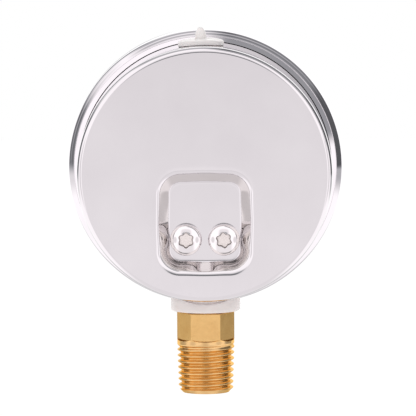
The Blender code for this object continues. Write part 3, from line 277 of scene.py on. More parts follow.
# Brass and bronze: light and dark tone, smoothest and roughest, pitch and height of the tool rings
BRASSES = {
    "milled_brass": ((0.87, 0.56, 0.23), (0.79, 0.485, 0.188), (0.10, 0.22), (0.0002, 0.0000008)),
    "turned_brass": ((0.79, 0.525, 0.245), (0.70, 0.445, 0.195), (0.14, 0.25), (0.0001, 0.0000008)),
    "drawn_bronze": ((0.66, 0.42, 0.23), (0.56, 0.34, 0.18), (0.22, 0.38), (0.0003, 0.000002)),
}
BRASS_CLOUDS = (420.0, 0.22)
BRASS_MARKS = (1500.0, 300.0)
BRASS_RING_UNEVENNESS = 2.0
BRASS_SHEEN = (0.95, 0.74, 0.42, 1.0)
# Milky plastic: light and dark tone, roughness, share of the light that sinks in
PLASTICS = {
    "milky_polymer": ((0.90, 0.83, 0.81), (0.85, 0.775, 0.755), 0.38, 0.25),
    "milky_silicone": ((0.81, 0.775, 0.765), (0.76, 0.725, 0.715), 0.42, 0.3),
}
PLASTIC_CLOUDS = (350.0, 0.25)
PLASTIC_MARKS = (2600.0, 500.0)
PLASTIC_ROUGHNESS_SPAN = 0.08
PLASTIC_IOR = 1.45
PLASTIC_RELIEF = 0.00001
PLASTIC_SINK_COLOUR = (1.0, 0.9, 0.9)
PLASTIC_SINK_DEPTH = 0.0015
# Rubber, enamel and paint: light and dark tone, roughness, grains per metre
COATINGS = {
    "black_rubber": ((0.030, 0.030, 0.031), (0.020, 0.020, 0.021), 0.62, 1800.0),
    "white_enamel": ((0.84, 0.84, 0.825), (0.81, 0.81, 0.795), 0.36, 700.0),
    "black_ink": ((0.018, 0.018, 0.020), (0.028, 0.028, 0.030), 0.45, 1500.0),
    "black_pointer_paint": ((0.016, 0.016, 0.017), (0.024, 0.024, 0.025), 0.34, 1200.0),
}
COATING_CLOUDS = (240.0, 0.3)
COATING_GRAINS_IN_HAZE = 5.0
COATING_SMOOTHER = 0.06
COATING_ROUGHER = 0.1
COATING_IOR = 1.5
COATING_RELIEF = 0.000008
WINDOW_COLOUR = (0.97, 0.98, 0.98, 1.0)
WINDOW_MARKS = (500.0, 60.0)
WINDOW_POLISH = (0.0, 0.035)
WINDOW_IOR = 1.49
# Noise and nodes of all finishes
NOISE_ROUGHNESS = 0.55
CLOUD_DETAIL = 3.0
HAIRLINE_DETAIL = 2.0
HAZE_DETAIL = 4.0
RING_DETAIL = 3.0
POLISH_SPAN = (0.12, 0.40)
WAVE_UNITS = 20.0
MIX_COLOURS = (6, 7)
MIX_RESULT = 2

# CAD nodes that stay as they are: finish by name, or brass for these words, or else steel
NODE_FINISHES = {
    "window_gasket": "black_rubber",
    "screw_seal_1": "black_rubber",
    "screw_seal_2": "black_rubber",
    "dial": "white_enamel",
    "hairspring": "drawn_bronze",
    "link": "drawn_steel",
}
BRASS_WORDS = ("plate", "pillar", "collet", "stud", "sector_gear", "tube_tip", "restrictor", "stop_pin")

# Camera
IMAGE_SIZE = 416.0
SENSOR_WIDTH = 36.0
CAMERA_TARGET = (-0.00068, 0.0, 0.04422)
CAMERA_DISTANCE = 1.3
CAMERA_PIXELS_PER_METRE = 4176.9
CAMERA_ELEVATION = 5.31
CAMERA_TURN = -0.467
CAMERA_ROLL = -0.2795
CAMERA_REACH = 20.0

# Studio: the light that mirrors see, and what darkens it. A spot is (direction from the gauge, angle of
# full shade, angle where it ends, depth); a wall is (span of x, of y, of z, depth), each span of the
# direction with its soft ends as (low, rise, high, fall).
MIRROR_LEVEL = 1.3
SOFT_LEVEL = 0.85
STUDIO_SPOTS = {
    "camera_side": ((0.0, 0.996, -0.09), 8.0, 17.0, 0.20),
    "camera_haze": ((0.0, 0.998, 0.044), 2.0, 9.5, 0.16),
    "camera": ((0.0, 0.9957, 0.0925), 2.5, 7.0, 0.85),
    "right_front": ((-0.80, 0.60, -0.06), 8.0, 16.0, 0.30),
    "left_front": ((0.80, 0.60, -0.06), 8.0, 16.0, 0.30),
    "far_left": ((0.092, -0.9957, 0.004), 2.0, 4.8, 0.55),
}
STUDIO_WALLS = {
    "camera_boom": ((-0.36, 0.20, 0.36, 0.20), (0.84, 0.06, 1.1, 0.05), (0.06, 0.08, 0.60, 0.15), 0.72),
    "ceiling": ((-0.46, 0.20, 0.46, 0.20), (0.55, 0.20, 0.98, 0.06), (0.20, 0.10, 1.3, 0.1), 0.24),
    "table": ((-0.66, 0.25, 0.66, 0.25), (-0.30, 0.20, 1.3, 0.1), (-1.3, 0.1, -0.12, 0.10), 0.25),
    "floor": ((-0.75, 0.25, 0.75, 0.25), (-1.3, 0.1, -0.20, 0.20), (-1.3, 0.1, -0.20, 0.20), 0.40),
    "right_room": ((-1.3, 0.1, 0.05, 0.25), (-0.66, 0.12, 0.16, 0.14), (-0.115, 0.04, 1.15, 0.20), 0.79),
    "right_near": ((-1.3, 0.1, 0.05, 0.25), (0.10, 0.10, 0.42, 0.14), (0.06, 0.14, 1.15, 0.20), 0.70),
    "right_side": ((-1.3, 0.1, -0.62, 0.20), (-0.66, 0.14, 0.16, 0.14), (-0.32, 0.16, 0.62, 0.20), 0.56),
    "left_room": ((0.08, 0.14, 1.3, 0.1), (-0.66, 0.12, 0.10, 0.15), (-0.16, 0.12, 0.52, 0.22), 0.78),
    "left_haze": ((0.05, 0.14, 1.3, 0.1), (-1.3, 0.1, 0.10, 0.15), (0.20, 0.20, 0.80, 0.20), 0.22),
    "left_side": ((0.62, 0.20, 1.3, 0.1), (-0.66, 0.14, 0.16, 0.14), (-0.32, 0.16, 0.62, 0.20), 0.28),
    "back_room": ((-0.32, 0.20, 0.66, 0.20), (-0.64, 0.12, 0.12, 0.14), (0.36, 0.15, 1.3, 0.1), 0.55),
    "back_left": ((0.26, 0.14, 0.85, 0.20), (-0.97, 0.06, -0.38, 0.16), (0.15, 0.12, 0.88, 0.2), 0.62),
}
FRONT_TINT = (1.0, 0.966, 0.987)
FRONT_TINT_SPOT = ((0.0, 0.996, -0.09), 60.0, 170.0)
SHADE_TINT = (0.965, 0.985, 1.035)
SHADE_TINT_SPAN = (0.25, 0.62)
# A softbox is (place, size, power)
SOFTBOXES = {
    "key_softbox": ((0.35, 0.75, 0.75), 0.5, 2.4),
    "front_softbox": ((-0.35, -0.75, 0.65), 0.6, 2.4),
}
FLOOR_HALF_SIZE = 2.0
FLOOR_Z = -0.1
FLOOR_COLOUR = (0.86, 0.86, 0.86, 1.0)
FLOOR_ROUGHNESS = 0.9
FLOOR_GLOW = 1.06
FLOOR_GLOW_SHARE = 0.85


def unit(degrees):
    """Unit vector (x, z) at an angle in the dial view, counted from +x towards +z."""
    return np.array([math.cos(math.radians(degrees)), math.sin(math.radians(degrees))])


def round_angles(steps):
    """Even angles once round a circle."""
    return np.linspace(0.0, math.tau, steps, endpoint=False)


def quarter_turn(steps, share=1.0):
    """Cosine and sine at even steps through a share of a quarter turn."""
    angles = np.linspace(0.0, share * math.pi / 2, steps)
    return list(zip(np.cos(angles), np.sin(angles)))


def arc_points(centre, radius, start, end, steps):
    """Points of an arc between two angles in degrees."""
    angles = np.radians(np.linspace(start, end, steps + 1))
    return np.array(centre) + radius * np.stack([np.cos(angles), np.sin(angles)], axis=1)


def softened(bends):
    """Path through (u, v, radius) corners, with an arc of that radius in place of each sharp corner."""
    path = []
    for i, (u, v, radius) in enumerate(bends):
        corner = np.array([u, v])
        if radius == 0.0:
            path.append(corner)
            continue
        before = np.array(bends[i - 1][:2]) - corner
        after = np.array(bends[i + 1][:2]) - corner
        before = before / np.linalg.norm(before)
        after = after / np.linalg.norm(after)
        half = math.acos(max(-1.0, min(1.0, float(before @ after)))) / 2
        reach = radius / math.tan(half)
        middle = before + after
        centre = corner + middle / np.linalg.norm(middle) * radius / math.sin(half)
        first = corner + before * reach - centre
        last = corner + after * reach - centre
        sweep = math.pi - 2 * half
        for share in np.linspace(0.0, 1.0, CORNER_STEPS + 1):
            from_first = math.sin((1 - share) * sweep)
            from_last = math.sin(share * sweep)
            path.append(centre + (first * from_first + last * from_last) / math.sin(sweep))
    return path


def ring_y(radius, y, angles, centre_z=AXIS_Z):
    """Points round an axis along Y; radius and y may change round the ring."""
    y = np.broadcast_to(y, angles.shape)
    return np.stack([radius * np.cos(angles), y, centre_z + radius * np.sin(angles)], axis=1)


def ring_z(radius, z, angles):
    """Points round the stem's axis; radius and z may change round the ring."""
    z = np.broadcast_to(z, angles.shape)
    return np.stack([radius * np.cos(angles), radius * np.sin(angles), z], axis=1)


def grid_mesh(name, rings, loop_rows=False, loop_columns=True, first_cap=False, last_cap=False):
    """Mesh of quads between rings of points, with a cap on the first and the last ring where asked."""
    rings = np.asarray(rings, float)
    rows, columns = rings.shape[:2]
    number = np.arange(rows * columns).reshape(rows, columns)
    above = np.roll(number, -1, axis=0)
    quads = np.stack([number, np.roll(number, -1, axis=1), np.roll(above, -1, axis=1), above], axis=2)
    quads = quads[: rows if loop_rows else -1, : columns if loop_columns else -1]
    faces = quads.reshape(-1, 4).tolist()
    if first_cap:
        faces.append(number[0][::-1].tolist())
    if last_cap:
        faces.append(number[-1].tolist())
    mesh = bpy.data.meshes.new(name)
    mesh.from_pydata(rings.reshape(-1, 3).tolist(), [], faces)
    return mesh


def tidy(mesh, weld=WELD, outwards=True, fill=False):
    """Merge doubled points and drop faces without area; close holes and turn faces out where asked."""
    bm = bmesh.new()
    bm.from_mesh(mesh)
    bmesh.ops.remove_doubles(bm, verts=bm.verts, dist=weld)
    bmesh.ops.dissolve_degenerate(bm, edges=bm.edges, dist=weld)
    if fill:
        bmesh.ops.holes_fill(bm, edges=[edge for edge in bm.edges if edge.is_boundary], sides=0)
    if outwards:
        bmesh.ops.recalc_face_normals(bm, faces=bm.faces)
    bm.to_mesh(mesh)
    bm.free()
    return mesh


def capped_mesh(name, rings):
    """Closed mesh of stacked rings with a cap at each end."""
    return tidy(grid_mesh(name, rings, first_cap=True, last_cap=True))


def looped_mesh(name, rings):
    """Closed mesh of rings whose last one joins the first."""
    return tidy(grid_mesh(name, rings, loop_rows=True))


def turned_ring(name, profile, steps=TURNED_STEPS):
    """Solid ring turned about the case's axis from a closed (radius, y) profile."""
    angles = round_angles(steps)
    return looped_mesh(name, [ring_y(radius, y, angles) for radius, y in profile])


def smooth(mesh, sharp_angle=CRISP_EDGE):
    """Smooth shading, broken only at edges sharper than an angle."""
    mesh.shade_smooth()
    mesh.set_sharp_from_angle(angle=math.radians(sharp_angle))
    return mesh


def scene_object(name, mesh):
    """Object at the origin for a mesh whose place is in its points."""
    obj = bpy.data.objects.new(name, mesh)
    bpy.context.scene.collection.objects.link(obj)
    return obj


def evaluated_mesh(obj):
    """Plain mesh of an object with its modifiers applied."""
    bpy.context.view_layer.update()
    depsgraph = bpy.context.evaluated_depsgraph_get()
    return bpy.data.meshes.new_from_object(obj.evaluated_get(depsgraph))


def baked(obj, name):
    """Plain mesh of an object with its modifiers applied; the object goes."""
    mesh = evaluated_mesh(obj)
    mesh.name = name
    bpy.data.objects.remove(obj)
    return mesh


def cut(obj, tool):
    """Take a closed mesh out of a solid object."""
    cutter = scene_object("cutter", tool)
    modifier = obj.modifiers.new("cut", "BOOLEAN")
    modifier.operation = "DIFFERENCE"
    modifier.solver = "EXACT"
    modifier.object = cutter
    mesh = evaluated_mesh(obj)
    obj.modifiers.clear()
    obj.data = mesh
    bpy.data.objects.remove(cutter)


def add_piece(name, mesh, materials, body, nodes=(), material_of=None):
    """Finished piece that rides on a body and stands for CAD nodes; faces may choose their material."""
    mesh.materials.clear()
    for material in materials:
        mesh.materials.append(material)
    if material_of:
        for face in mesh.polygons:
            face.material_index = material_of(face)
    piece = scene_object(name, mesh)
    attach(piece, body)
    if nodes:
        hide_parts(*nodes)


def feed(tree, socket, value):
    """Link a socket to another one, or set it to a plain value; a plain colour is three numbers."""
    if isinstance(value, bpy.types.NodeSocket):
        tree.links.new(value, socket)
    elif socket.type == "RGBA":
        socket.default_value = (*value, 1.0)
    else:
        socket.default_value = value


def add_node(tree, kind, inputs=None, **settings):
    """Node of a kind, with its settings made and its inputs linked or set."""
    node = tree.nodes.new(kind)
    for label, value in settings.items():
        setattr(node, label, value)
    for label, value in (inputs or {}).items():
        feed(tree, node.inputs[label], value)
    return node


def noise(tree, place, scale, detail):
    """Noise over a place, at a scale and with a detail."""
    inputs = {"Vector": place, "Scale": scale, "Detail": detail, "Roughness": NOISE_ROUGHNESS}
    return add_node(tree, "ShaderNodeTexNoise", inputs).outputs["Fac"]


def mapped(tree, value, low, high, to_low=0.0, to_high=1.0, curve="LINEAR"):
    """A value taken from one range to another and held within it; ends are numbers or sockets."""
    ends = {"Value": value, "From Min": low, "From Max": high, "To Min": to_low, "To Max": to_high}
    return add_node(tree, "ShaderNodeMapRange", ends, interpolation_type=curve).outputs["Result"]


def worked(tree, operation, first, second=0.0):
    """Result of a Math node on two sockets or numbers."""
    return add_node(tree, "ShaderNodeMath", {0: first, 1: second}, operation=operation).outputs["Value"]


def mix_colour(tree, share, first, second):
    """Colour between two colours, which may be sockets or plain values."""
    ends = {"Factor": share, MIX_COLOURS[0]: first, MIX_COLOURS[1]: second}
    return add_node(tree, "ShaderNodeMix", ends, data_type="RGBA").outputs[MIX_RESULT]


def socket_tree(name, kind, inputs, outputs):
    """Node tree with named sockets of given kinds, and the sockets of its two ends."""
    tree = bpy.data.node_groups.new(name, kind)
    for side, sockets in (("INPUT", inputs), ("OUTPUT", outputs)):
        for label, socket_kind in sockets.items():
            tree.interface.new_socket(name=label, in_out=side, socket_type="NodeSocket" + socket_kind)
    return tree, tree.nodes.new("NodeGroupInput").outputs, tree.nodes.new("NodeGroupOutput").inputs


def clouded_tone_group():
    """Slow clouds of tone between two colours, as on stained or hand-wiped metal and cast plastic."""
    tree, given, put = socket_tree(
        "clouded_tone",
        "ShaderNodeTree",
        {"Place": "Vector", "Cloud Scale": "Float", "Light": "Color", "Dark": "Color", "Spread": "Float"},
        {"Colour": "Color"},
    )
    clouds = noise(tree, given["Place"], given["Cloud Scale"], CLOUD_DETAIL)
    low = worked(tree, "SUBTRACT", 0.5, given["Spread"])
    high = worked(tree, "ADD", 0.5, given["Spread"])
    colour = mix_colour(tree, mapped(tree, clouds, low, high), given["Light"], given["Dark"])
    tree.links.new(colour, put["Colour"])
    return tree


def polish_marks_group():
    """Fine hairlines and haze left by polishing: a roughness and a height."""
    labels = ("Hairline Scale", "Haze Scale", "Smoothest", "Roughest")
    tree, given, put = socket_tree(
        "polish_marks",
        "ShaderNodeTree",
        {"Place": "Vector", **{label: "Float" for label in labels}},
        {"Roughness": "Float", "Height": "Float"},
    )
    hairlines = noise(tree, given["Place"], given["Hairline Scale"], HAIRLINE_DETAIL)
    haze = noise(tree, given["Place"], given["Haze Scale"], HAZE_DETAIL)
    blend = worked(tree, "MULTIPLY", hairlines, haze)
    rough = mapped(tree, blend, *POLISH_SPAN, given["Smoothest"], given["Roughest"])
    tree.links.new(rough, put["Roughness"])
    tree.links.new(hairlines, put["Height"])
    return tree


def tool_rings_group():
    """Fine rings that a lathe leaves round the stem's axis: a height."""
    tree, given, put = socket_tree(
        "tool_rings",
        "ShaderNodeTree",
        {"Place": "Vector", "Ring Scale": "Float", "Unevenness": "Float"},
        {"Height": "Float"},
    )
    inputs = {
        "Vector": given["Place"],
        "Scale": given["Ring Scale"],
        "Distortion": given["Unevenness"],
        "Detail": RING_DETAIL,
    }
    wave = add_node(tree, "ShaderNodeTexWave", inputs, wave_type="BANDS", bands_direction="Z")
    tree.links.new(wave.outputs["Fac"], put["Height"])
    return tree


def finish(groups, name, marks, tone=None, relief=0.0, stretch=EVEN, rings=None, **constants):
    """Material of clouded tone, polish marks and a fine relief, from tool rings where it has them.

    Constants are set on the shader's own sockets, with _ for a space in a name.
    """
    material = bpy.data.materials.new(name)
    material.use_nodes = True
    tree = material.node_tree
    shader = tree.nodes["Principled BSDF"]
    for label, value in constants.items():
        shader.inputs[label.replace("_", " ")].default_value = value
    place = tree.nodes.new("ShaderNodeTexCoord").outputs["Object"]

    def placed(group, spot, values):
        """Outputs of a group node at a place, with its values set."""
        inputs = {"Place": spot, **values}
        node = tree.nodes.new("ShaderNodeGroup")
        node.node_tree = groups[group]
        for label, value in inputs.items():
            feed(tree, node.inputs[label], value)
        return node.outputs

    along = add_node(tree, "ShaderNodeMapping", {"Vector": place, "Scale": stretch}).outputs["Vector"]
    polish = placed("polish", along, marks)
    tree.links.new(polish["Roughness"], shader.inputs["Roughness"])
    if tone:
        tree.links.new(placed("tone", place, tone)["Colour"], shader.inputs["Base Color"])
    if relief:
        height = placed("rings", place, rings)["Height"] if rings else polish["Height"]
        bump = add_node(tree, "ShaderNodeBump", {"Strength": 1.0, "Distance": relief, "Height": height})
        tree.links.new(bump.outputs["Normal"], shader.inputs["Normal"])
    return material


def tone_values(light, dark, cloud_scale, spread):
    """Values of the clouded tone."""
    return {"Light": light, "Dark": dark, "Cloud Scale": cloud_scale, "Spread": spread}


def mark_values(hairline_scale, haze_scale, smoothest, roughest):
    """Values of the polish marks."""
    return {
        "Hairline Scale": hairline_scale,
        "Haze Scale": haze_scale,
        "Smoothest": smoothest,
        "Roughest": roughest,
    }


def steel_finish(groups, name, light, dark, cloud_scale, polish, stretch):
    """Stainless steel: slow clouds of tone, hairlines along the polish and a faint haze."""
    tone = tone_values(light, dark, cloud_scale, STEEL_SPREAD)
    marks = mark_values(*STEEL_MARKS, *polish)
    return finish(groups, name, marks, tone, STEEL_RELIEF, stretch, Metallic=1.0)


def brass_finish(groups, name, light, dark, polish, tool_rings):
    """Machined brass: blotchy tarnish, tool rings of a pitch and a height, and a soft sheen."""
    tone = tone_values(light, dark, *BRASS_CLOUDS)
    marks = mark_values(*BRASS_MARKS, *polish)
    pitch, height = tool_rings
    rings = {"Ring Scale": math.tau / (WAVE_UNITS * pitch), "Unevenness": BRASS_RING_UNEVENNESS}
    return finish(
        groups, name, marks, tone, height, rings=rings, Metallic=1.0, Specular_Tint=BRASS_SHEEN
    )


def plastic_finish(groups, name, light, dark, roughness, sink):
    """Milky moulded plastic: slightly uneven tone, soft moulded grain and light that sinks in."""
    span = PLASTIC_ROUGHNESS_SPAN
    return finish(
        groups,
        name,
        mark_values(*PLASTIC_MARKS, roughness - span, roughness + span),
        tone_values(light, dark, *PLASTIC_CLOUDS),
        PLASTIC_RELIEF,
        Subsurface_Weight=sink,
        Subsurface_Scale=PLASTIC_SINK_DEPTH,
        Subsurface_Radius=PLASTIC_SINK_COLOUR,
        IOR=PLASTIC_IOR,
    )


def coated_finish(groups, name, light, dark, roughness, grain):
    """Enamel, paint or rubber: near-even colour with a fine grain."""
    polish = (roughness - COATING_SMOOTHER, roughness + COATING_ROUGHER)
    marks = mark_values(grain, grain / COATING_GRAINS_IN_HAZE, *polish)
    tone = tone_values(light, dark, *COATING_CLOUDS)
    return finish(groups, name, marks, tone, COATING_RELIEF, IOR=COATING_IOR)


def window_finish(groups, name):
    """Clear window pane with faint wiping marks."""
    marks = mark_values(*WINDOW_MARKS, *WINDOW_POLISH)
    glass = {"Base_Color": WINDOW_COLOUR, "Transmission_Weight": 1.0, "IOR": WINDOW_IOR}
    return finish(groups, name, marks, **glass)


def make_finishes():
    """All the finishes of the gauge, by name."""
    groups = {
        "tone": clouded_tone_group(),
        "polish": polish_marks_group(),
        "rings": tool_rings_group(),
    }
    kinds = (
        (steel_finish, STEELS),
        (brass_finish, BRASSES),
        (plastic_finish, PLASTICS),
        (coated_finish, COATINGS),
        (window_finish, {"clear_pane": ()}),
    )
    return {name: make(groups, name, *row) for make, rows in kinds for name, row in rows.items()}


def dress_carried_nodes(finishes, nodes):
    """Finishes on the CAD nodes that stay as they are."""
    for name, obj in nodes.items():
        is_screw = "screw" in name and "restrictor" not in name
        is_brass = any(word in name for word in BRASS_WORDS) and not is_screw
        kind = NODE_FINISHES.get(name, "milled_brass" if is_brass else "drawn_steel")
        obj.data.materials.clear()
        obj.data.materials.append(finishes[kind])


def shoulder_point(t, offset=0.0):
    """Point (radius, y) on the case's flared shoulder, t from 0 at its rear to 1, moved outwards."""
    rise = FLANGE_RADIUS - CASE_RADIUS
    radius = CASE_RADIUS + rise * (0.5 - 0.5 * math.cos(math.pi * t))
    y = SHOULDER_REAR - SHOULDER_LENGTH * t
    normal = np.array([SHOULDER_LENGTH, rise * math.pi / 2 * math.sin(math.pi * t)])
    normal = normal / np.linalg.norm(normal)
    return radius + offset * normal[0], y + offset * normal[1]


def rounded_rectangle_reach(half_width, half_height, corner, angles):
    """Distance from the middle of a rounded rectangle with bowed sides to its outline, at each angle."""
    across = np.cos(angles)
    up = np.sin(angles)
    to_side = half_width / np.maximum(np.abs(across), TINY)
    to_top = half_height / np.maximum(np.abs(up), TINY)
    centre_x = np.sign(across) * (half_width - corner)
    centre_z = np.sign(up) * (half_height - corner)
    ahead = across * centre_x + up * centre_z
    inside = np.maximum(ahead**2 - centre_x**2 - centre_z**2 + corner**2, 0.0)
    to_corner = ahead + np.sqrt(inside)
    along_side = np.abs(to_side * up) / (half_height - corner)
    along_top = np.abs(to_top * across) / (half_width - corner)
    bow = np.cos(np.clip(np.minimum(along_side, along_top), 0.0, 1.0) * math.pi / 2) ** 2
    reach = np.where(along_side <= 1.0, to_side, to_corner)
    return np.where(along_top <= 1.0, to_top, reach) + POCKET_BOW * (bow - 1.0)


def pocket_profile(rim_round):
    """(inset, depth) points of the pocket's wall, from the flat back over its round rim to its floor."""
    turn = math.radians(POCKET_WALL_ANGLE)
    slope = np.array([math.cos(turn), math.sin(turn)])
    rounds = rim_round + POCKET_FLOOR_ROUND
    straight = (POCKET_INSET - rounds * slope[1]) / slope[0]
    stretch = POCKET_DEPTH / (rounds * (1 - slope[0]) + straight * slope[1])
    bend = np.linspace(0.0, turn, POCKET_RIM_RINGS)
    rim = rim_round * np.stack([np.sin(bend), 1 - np.cos(bend)], axis=1)
    wall = [rim[-1] + slope * straight * share for share in POCKET_WALL_SHARES]
    bend = np.linspace(turn, 0.0, POCKET_FOOT_RINGS)
    turned = np.stack([slope[1] - np.sin(bend), np.cos(bend) - slope[0]], axis=1)
    foot = rim[-1] + slope * straight + POCKET_FLOOR_ROUND * turned
    return np.concatenate([rim, wall, foot]) * (1.0, stretch)


def pocket_outlines(angles):
    """(reach, y) of each ring of the pocket's wall, from its rim to its floor; the sill is rounder."""
    sill_share = np.clip(-POCKET_SILL_SPREAD * np.sin(angles), 0.0, 1.0) ** 2
    outlines = []
    for rim_point, sill_point in zip(pocket_profile(POCKET_RIM_ROUND), pocket_profile(POCKET_SILL_ROUND)):
        inset, depth = rim_point[:, None] + (sill_point - rim_point)[:, None] * sill_share
        corner = POCKET_CORNER + (POCKET_FLOOR_CORNER - POCKET_CORNER) * inset / POCKET_INSET
        half_width = POCKET_HALF_WIDTH - inset
        half_height = POCKET_HALF_HEIGHT - inset
        level = 2 * depth / POCKET_DEPTH - 1
        swell = POCKET_WAVE * (1 - level**2) * np.cos(POCKET_WAVES * angles)
        reach = rounded_rectangle_reach(half_width, half_height, corner, angles) + swell
        outlines.append((reach, BACK_Y - depth))
    return outlines


def shell_profile():
    """(radius, y) points of the shell, from the back's creased edge over the shoulder to the rim."""
    crease = math.radians(BACK_CREASE)
    edge_round = BACK_EDGE / (1 - math.sin(crease))
    edge_end = BACK_Y - edge_round * math.cos(crease)
    edge_centre = (CASE_RADIUS - edge_round, edge_end)
    profile = list(arc_points(edge_centre, edge_round, 90.0 - BACK_CREASE, 0.0, BACK_EDGE_STEPS))
    profile += [(CASE_RADIUS, edge_end + (SHOULDER_REAR - edge_end) * share) for share in SHELL_RING_SHARES]
    profile += [shoulder_point(share) for share in np.linspace(0.0, 1.0, SHOULDER_RINGS)]
    return profile + [(FLANGE_RADIUS, RIM_Y + CASE_WALL / 4), (FLANGE_RADIUS, RIM_Y)]


def case_rings():
    """Rings of the case's outer skin, from the pocket's floor over the back and the shell to its rim."""
    angles = round_angles(CASE_COLUMNS)
    pocket_z = AXIS_Z + POCKET_MIDDLE
    outlines = pocket_outlines(angles)
    floor_reach, floor_y = outlines[-1]
    rings = [ring_y(floor_reach * share, floor_y, angles, pocket_z) for share in POCKET_FLOOR_SHARES]
    rings += [ring_y(reach, y, angles, pocket_z) for reach, y in reversed(outlines)]
    rim_reach = outlines[0][0]
    ahead = POCKET_MIDDLE * np.sin(angles)
    edge_reach = np.sqrt(ahead**2 - POCKET_MIDDLE**2 + (CASE_RADIUS - BACK_EDGE) ** 2) - ahead
    for share in BACK_RING_SHARES:
        rings.append(ring_y(rim_reach + (edge_reach - rim_reach) * share, BACK_Y, angles, pocket_z))
    around = np.arctan2(POCKET_MIDDLE + edge_reach * np.sin(angles), edge_reach * np.cos(angles))
    return rings + [ring_y(radius, y, around) for radius, y in shell_profile()]


def plug_matrix():
    """Place of the plug's own axis, which leans a little from upright."""
    return Matrix.Translation((0.0, PLUG_Y, AXIS_Z)) @ Matrix.Rotation(math.radians(PLUG_LEAN), 4, "Y")


def post(radius, top, bottom):
    """Closed round post along Z, as a tool to cut with."""
    angles = round_angles(POST_COLUMNS)
    return capped_mesh("post", [ring_z(radius, bottom, angles), ring_z(radius, top, angles)])


def make_case(finishes):
    """Drawn shell with its pressed pocket, its flared flange and holes for the plug and the stem."""
    shell = scene_object("case_shell_raw", grid_mesh("case_shell", case_rings(), first_cap=True))
    wall = shell.modifiers.new("wall", "SOLIDIFY")
    wall.thickness = CASE_WALL
    wall.offset = -1.0
    shell = scene_object("case_shell_raw", tidy(baked(shell, "case_shell"), outwards=False))
    plug_hole = post(PLUG_NECK_RADIUS + HOLE_FIT, 2 * CASE_RADIUS, CASE_RADIUS / 2)
    plug_hole.transform(plug_matrix())
    cut(shell, plug_hole)
    cut(shell, post(STEM_HOLE_RADIUS, AXIS_Z - CASE_RADIUS / 2, HEX_TOP))
    mesh = smooth(baked(shell, "case_shell"))
    wall_top = BACK_Y - POCKET_RIM_ROUND / 2
    wall_foot = BACK_Y - POCKET_DEPTH + POCKET_FLOOR_ROUND / 2

    def steel_of(face):
        """Number of the steel of a face: the shell's, or the pressed wall's of the pocket."""
        in_width = abs(face.center.x) < POCKET_HALF_WIDTH
        in_height = abs(face.center.z - AXIS_Z - POCKET_MIDDLE) < POCKET_HALF_HEIGHT
        return 1 if in_width and in_height and wall_foot < face.center.y < wall_top else 0

    steels = [finishes["polished_case_steel"], finishes["pressed_steel"]]
    add_piece("case_shell", mesh, steels, "housing", ["case"], steel_of)


def make_bezel(finishes):
    """Polished ring, folded over the window in front and crimped behind the case's flange."""
    inner = FLANGE_RADIUS + BEZEL_FIT
    outer = inner + BEZEL_WALL
    front = BEZEL_LIP_REAR - BEZEL_WALL
    hook = np.linspace(BEZEL_HOOK, 1.0, BEZEL_HOOK_POINTS)
    grip = BEZEL_FIT - (BEZEL_FIT - SEAT_GAP) * np.clip((1.0 - hook) / BEZEL_CRIMP, 0.0, 1.0)
    outside = [shoulder_point(t, gap + BEZEL_WALL) for t, gap in zip(hook, grip)]
    inside = [shoulder_point(t, gap) for t, gap in zip(hook[::-1], grip[::-1])]
    face_centre = (outer - BEZEL_FRONT_ROUND, front + BEZEL_FRONT_ROUND)
    face = list(arc_points(face_centre, BEZEL_FRONT_ROUND, 0.0, -90.0, BEZEL_FACE_STEPS))
    lip = softened(
        [
            (outer - BEZEL_FRONT_ROUND, front, 0.0),
            (BEZEL_OPENING, front, BEZEL_LIP_ROUNDS[0]),
            (BEZEL_OPENING, BEZEL_LIP_REAR, BEZEL_LIP_ROUNDS[1]),
            (inner, BEZEL_LIP_REAR, 0.0),
        ]
    )[1:]
    under_hook = np.linspace(BEZEL_HOOK, 0.0, BEZEL_UNDER_POINTS)[1:]
    under = [shoulder_point(t, SEAT_GAP) for t in under_hook]
    nose = np.array(outside[0])
    steep = math.radians(BEZEL_SKIRT_SLOPE)
    down = np.array([-math.sin(steep), math.cos(steep)])
    step = nose - BEZEL_NOSE_STEP * np.array([math.cos(steep), math.sin(steep)])
    foot = step + down * (step[0] - CASE_RADIUS - BEZEL_FOOT_GAP) / math.sin(steep)
    skirt = softened(
        [
            (CASE_RADIUS + SEAT_GAP, foot[1] - BEZEL_WALL, 0.0),
            (CASE_RADIUS + BEZEL_FOOT_GAP, foot[1], 0.0),
            (*step, 0.0),
            (*nose, BEZEL_NOSE_ROUND),
            (*outside[1], 0.0),
        ]
    )[:-1]
    mesh = smooth(turned_ring("bezel_ring", outside[1:] + face + lip + inside + under + skirt))
    steel = [finishes["polished_bezel_steel"]]
    add_piece("bezel_ring", mesh, steel, "housing", ["bezel"])


def make_window(finishes):
    """Flat clear pane with softened edges."""
    side = softened(
        [
            (WINDOW_EYE, WINDOW_REAR, 0.0),
            (FLANGE_RADIUS, WINDOW_REAR, WINDOW_EDGE_ROUND),
            (FLANGE_RADIUS, WINDOW_FRONT, WINDOW_EDGE_ROUND),
            (WINDOW_EYE, WINDOW_FRONT, 0.0),
        ]
    )
    angles = round_angles(TURNED_STEPS)
    mesh = smooth(capped_mesh("window_pane", [ring_y(radius, y, angles) for radius, y in side]))
    add_piece("window_pane", mesh, [finishes["clear_pane"]], "housing", ["window"])


def thread_radius(heights, angles):
    """Radius of the stem's thread at heights and angles round its axis."""
    crest = THREAD_END_RADIUS + THREAD_TAPER * heights
    phase = heights / THREAD_PITCH - angles / math.tau - THREAD_START
    groove = THREAD_DEPTH * (0.5 - 0.5 * np.cos(math.tau * phase))
    lead = THREAD_END_RADIUS - THREAD_LEAD + heights
    runout = np.clip((THREAD_LENGTH - heights) / THREAD_PITCH, 0.0, 1.0)
    return STEM_RADIUS + (np.minimum(crest - groove, lead) - STEM_RADIUS) * runout


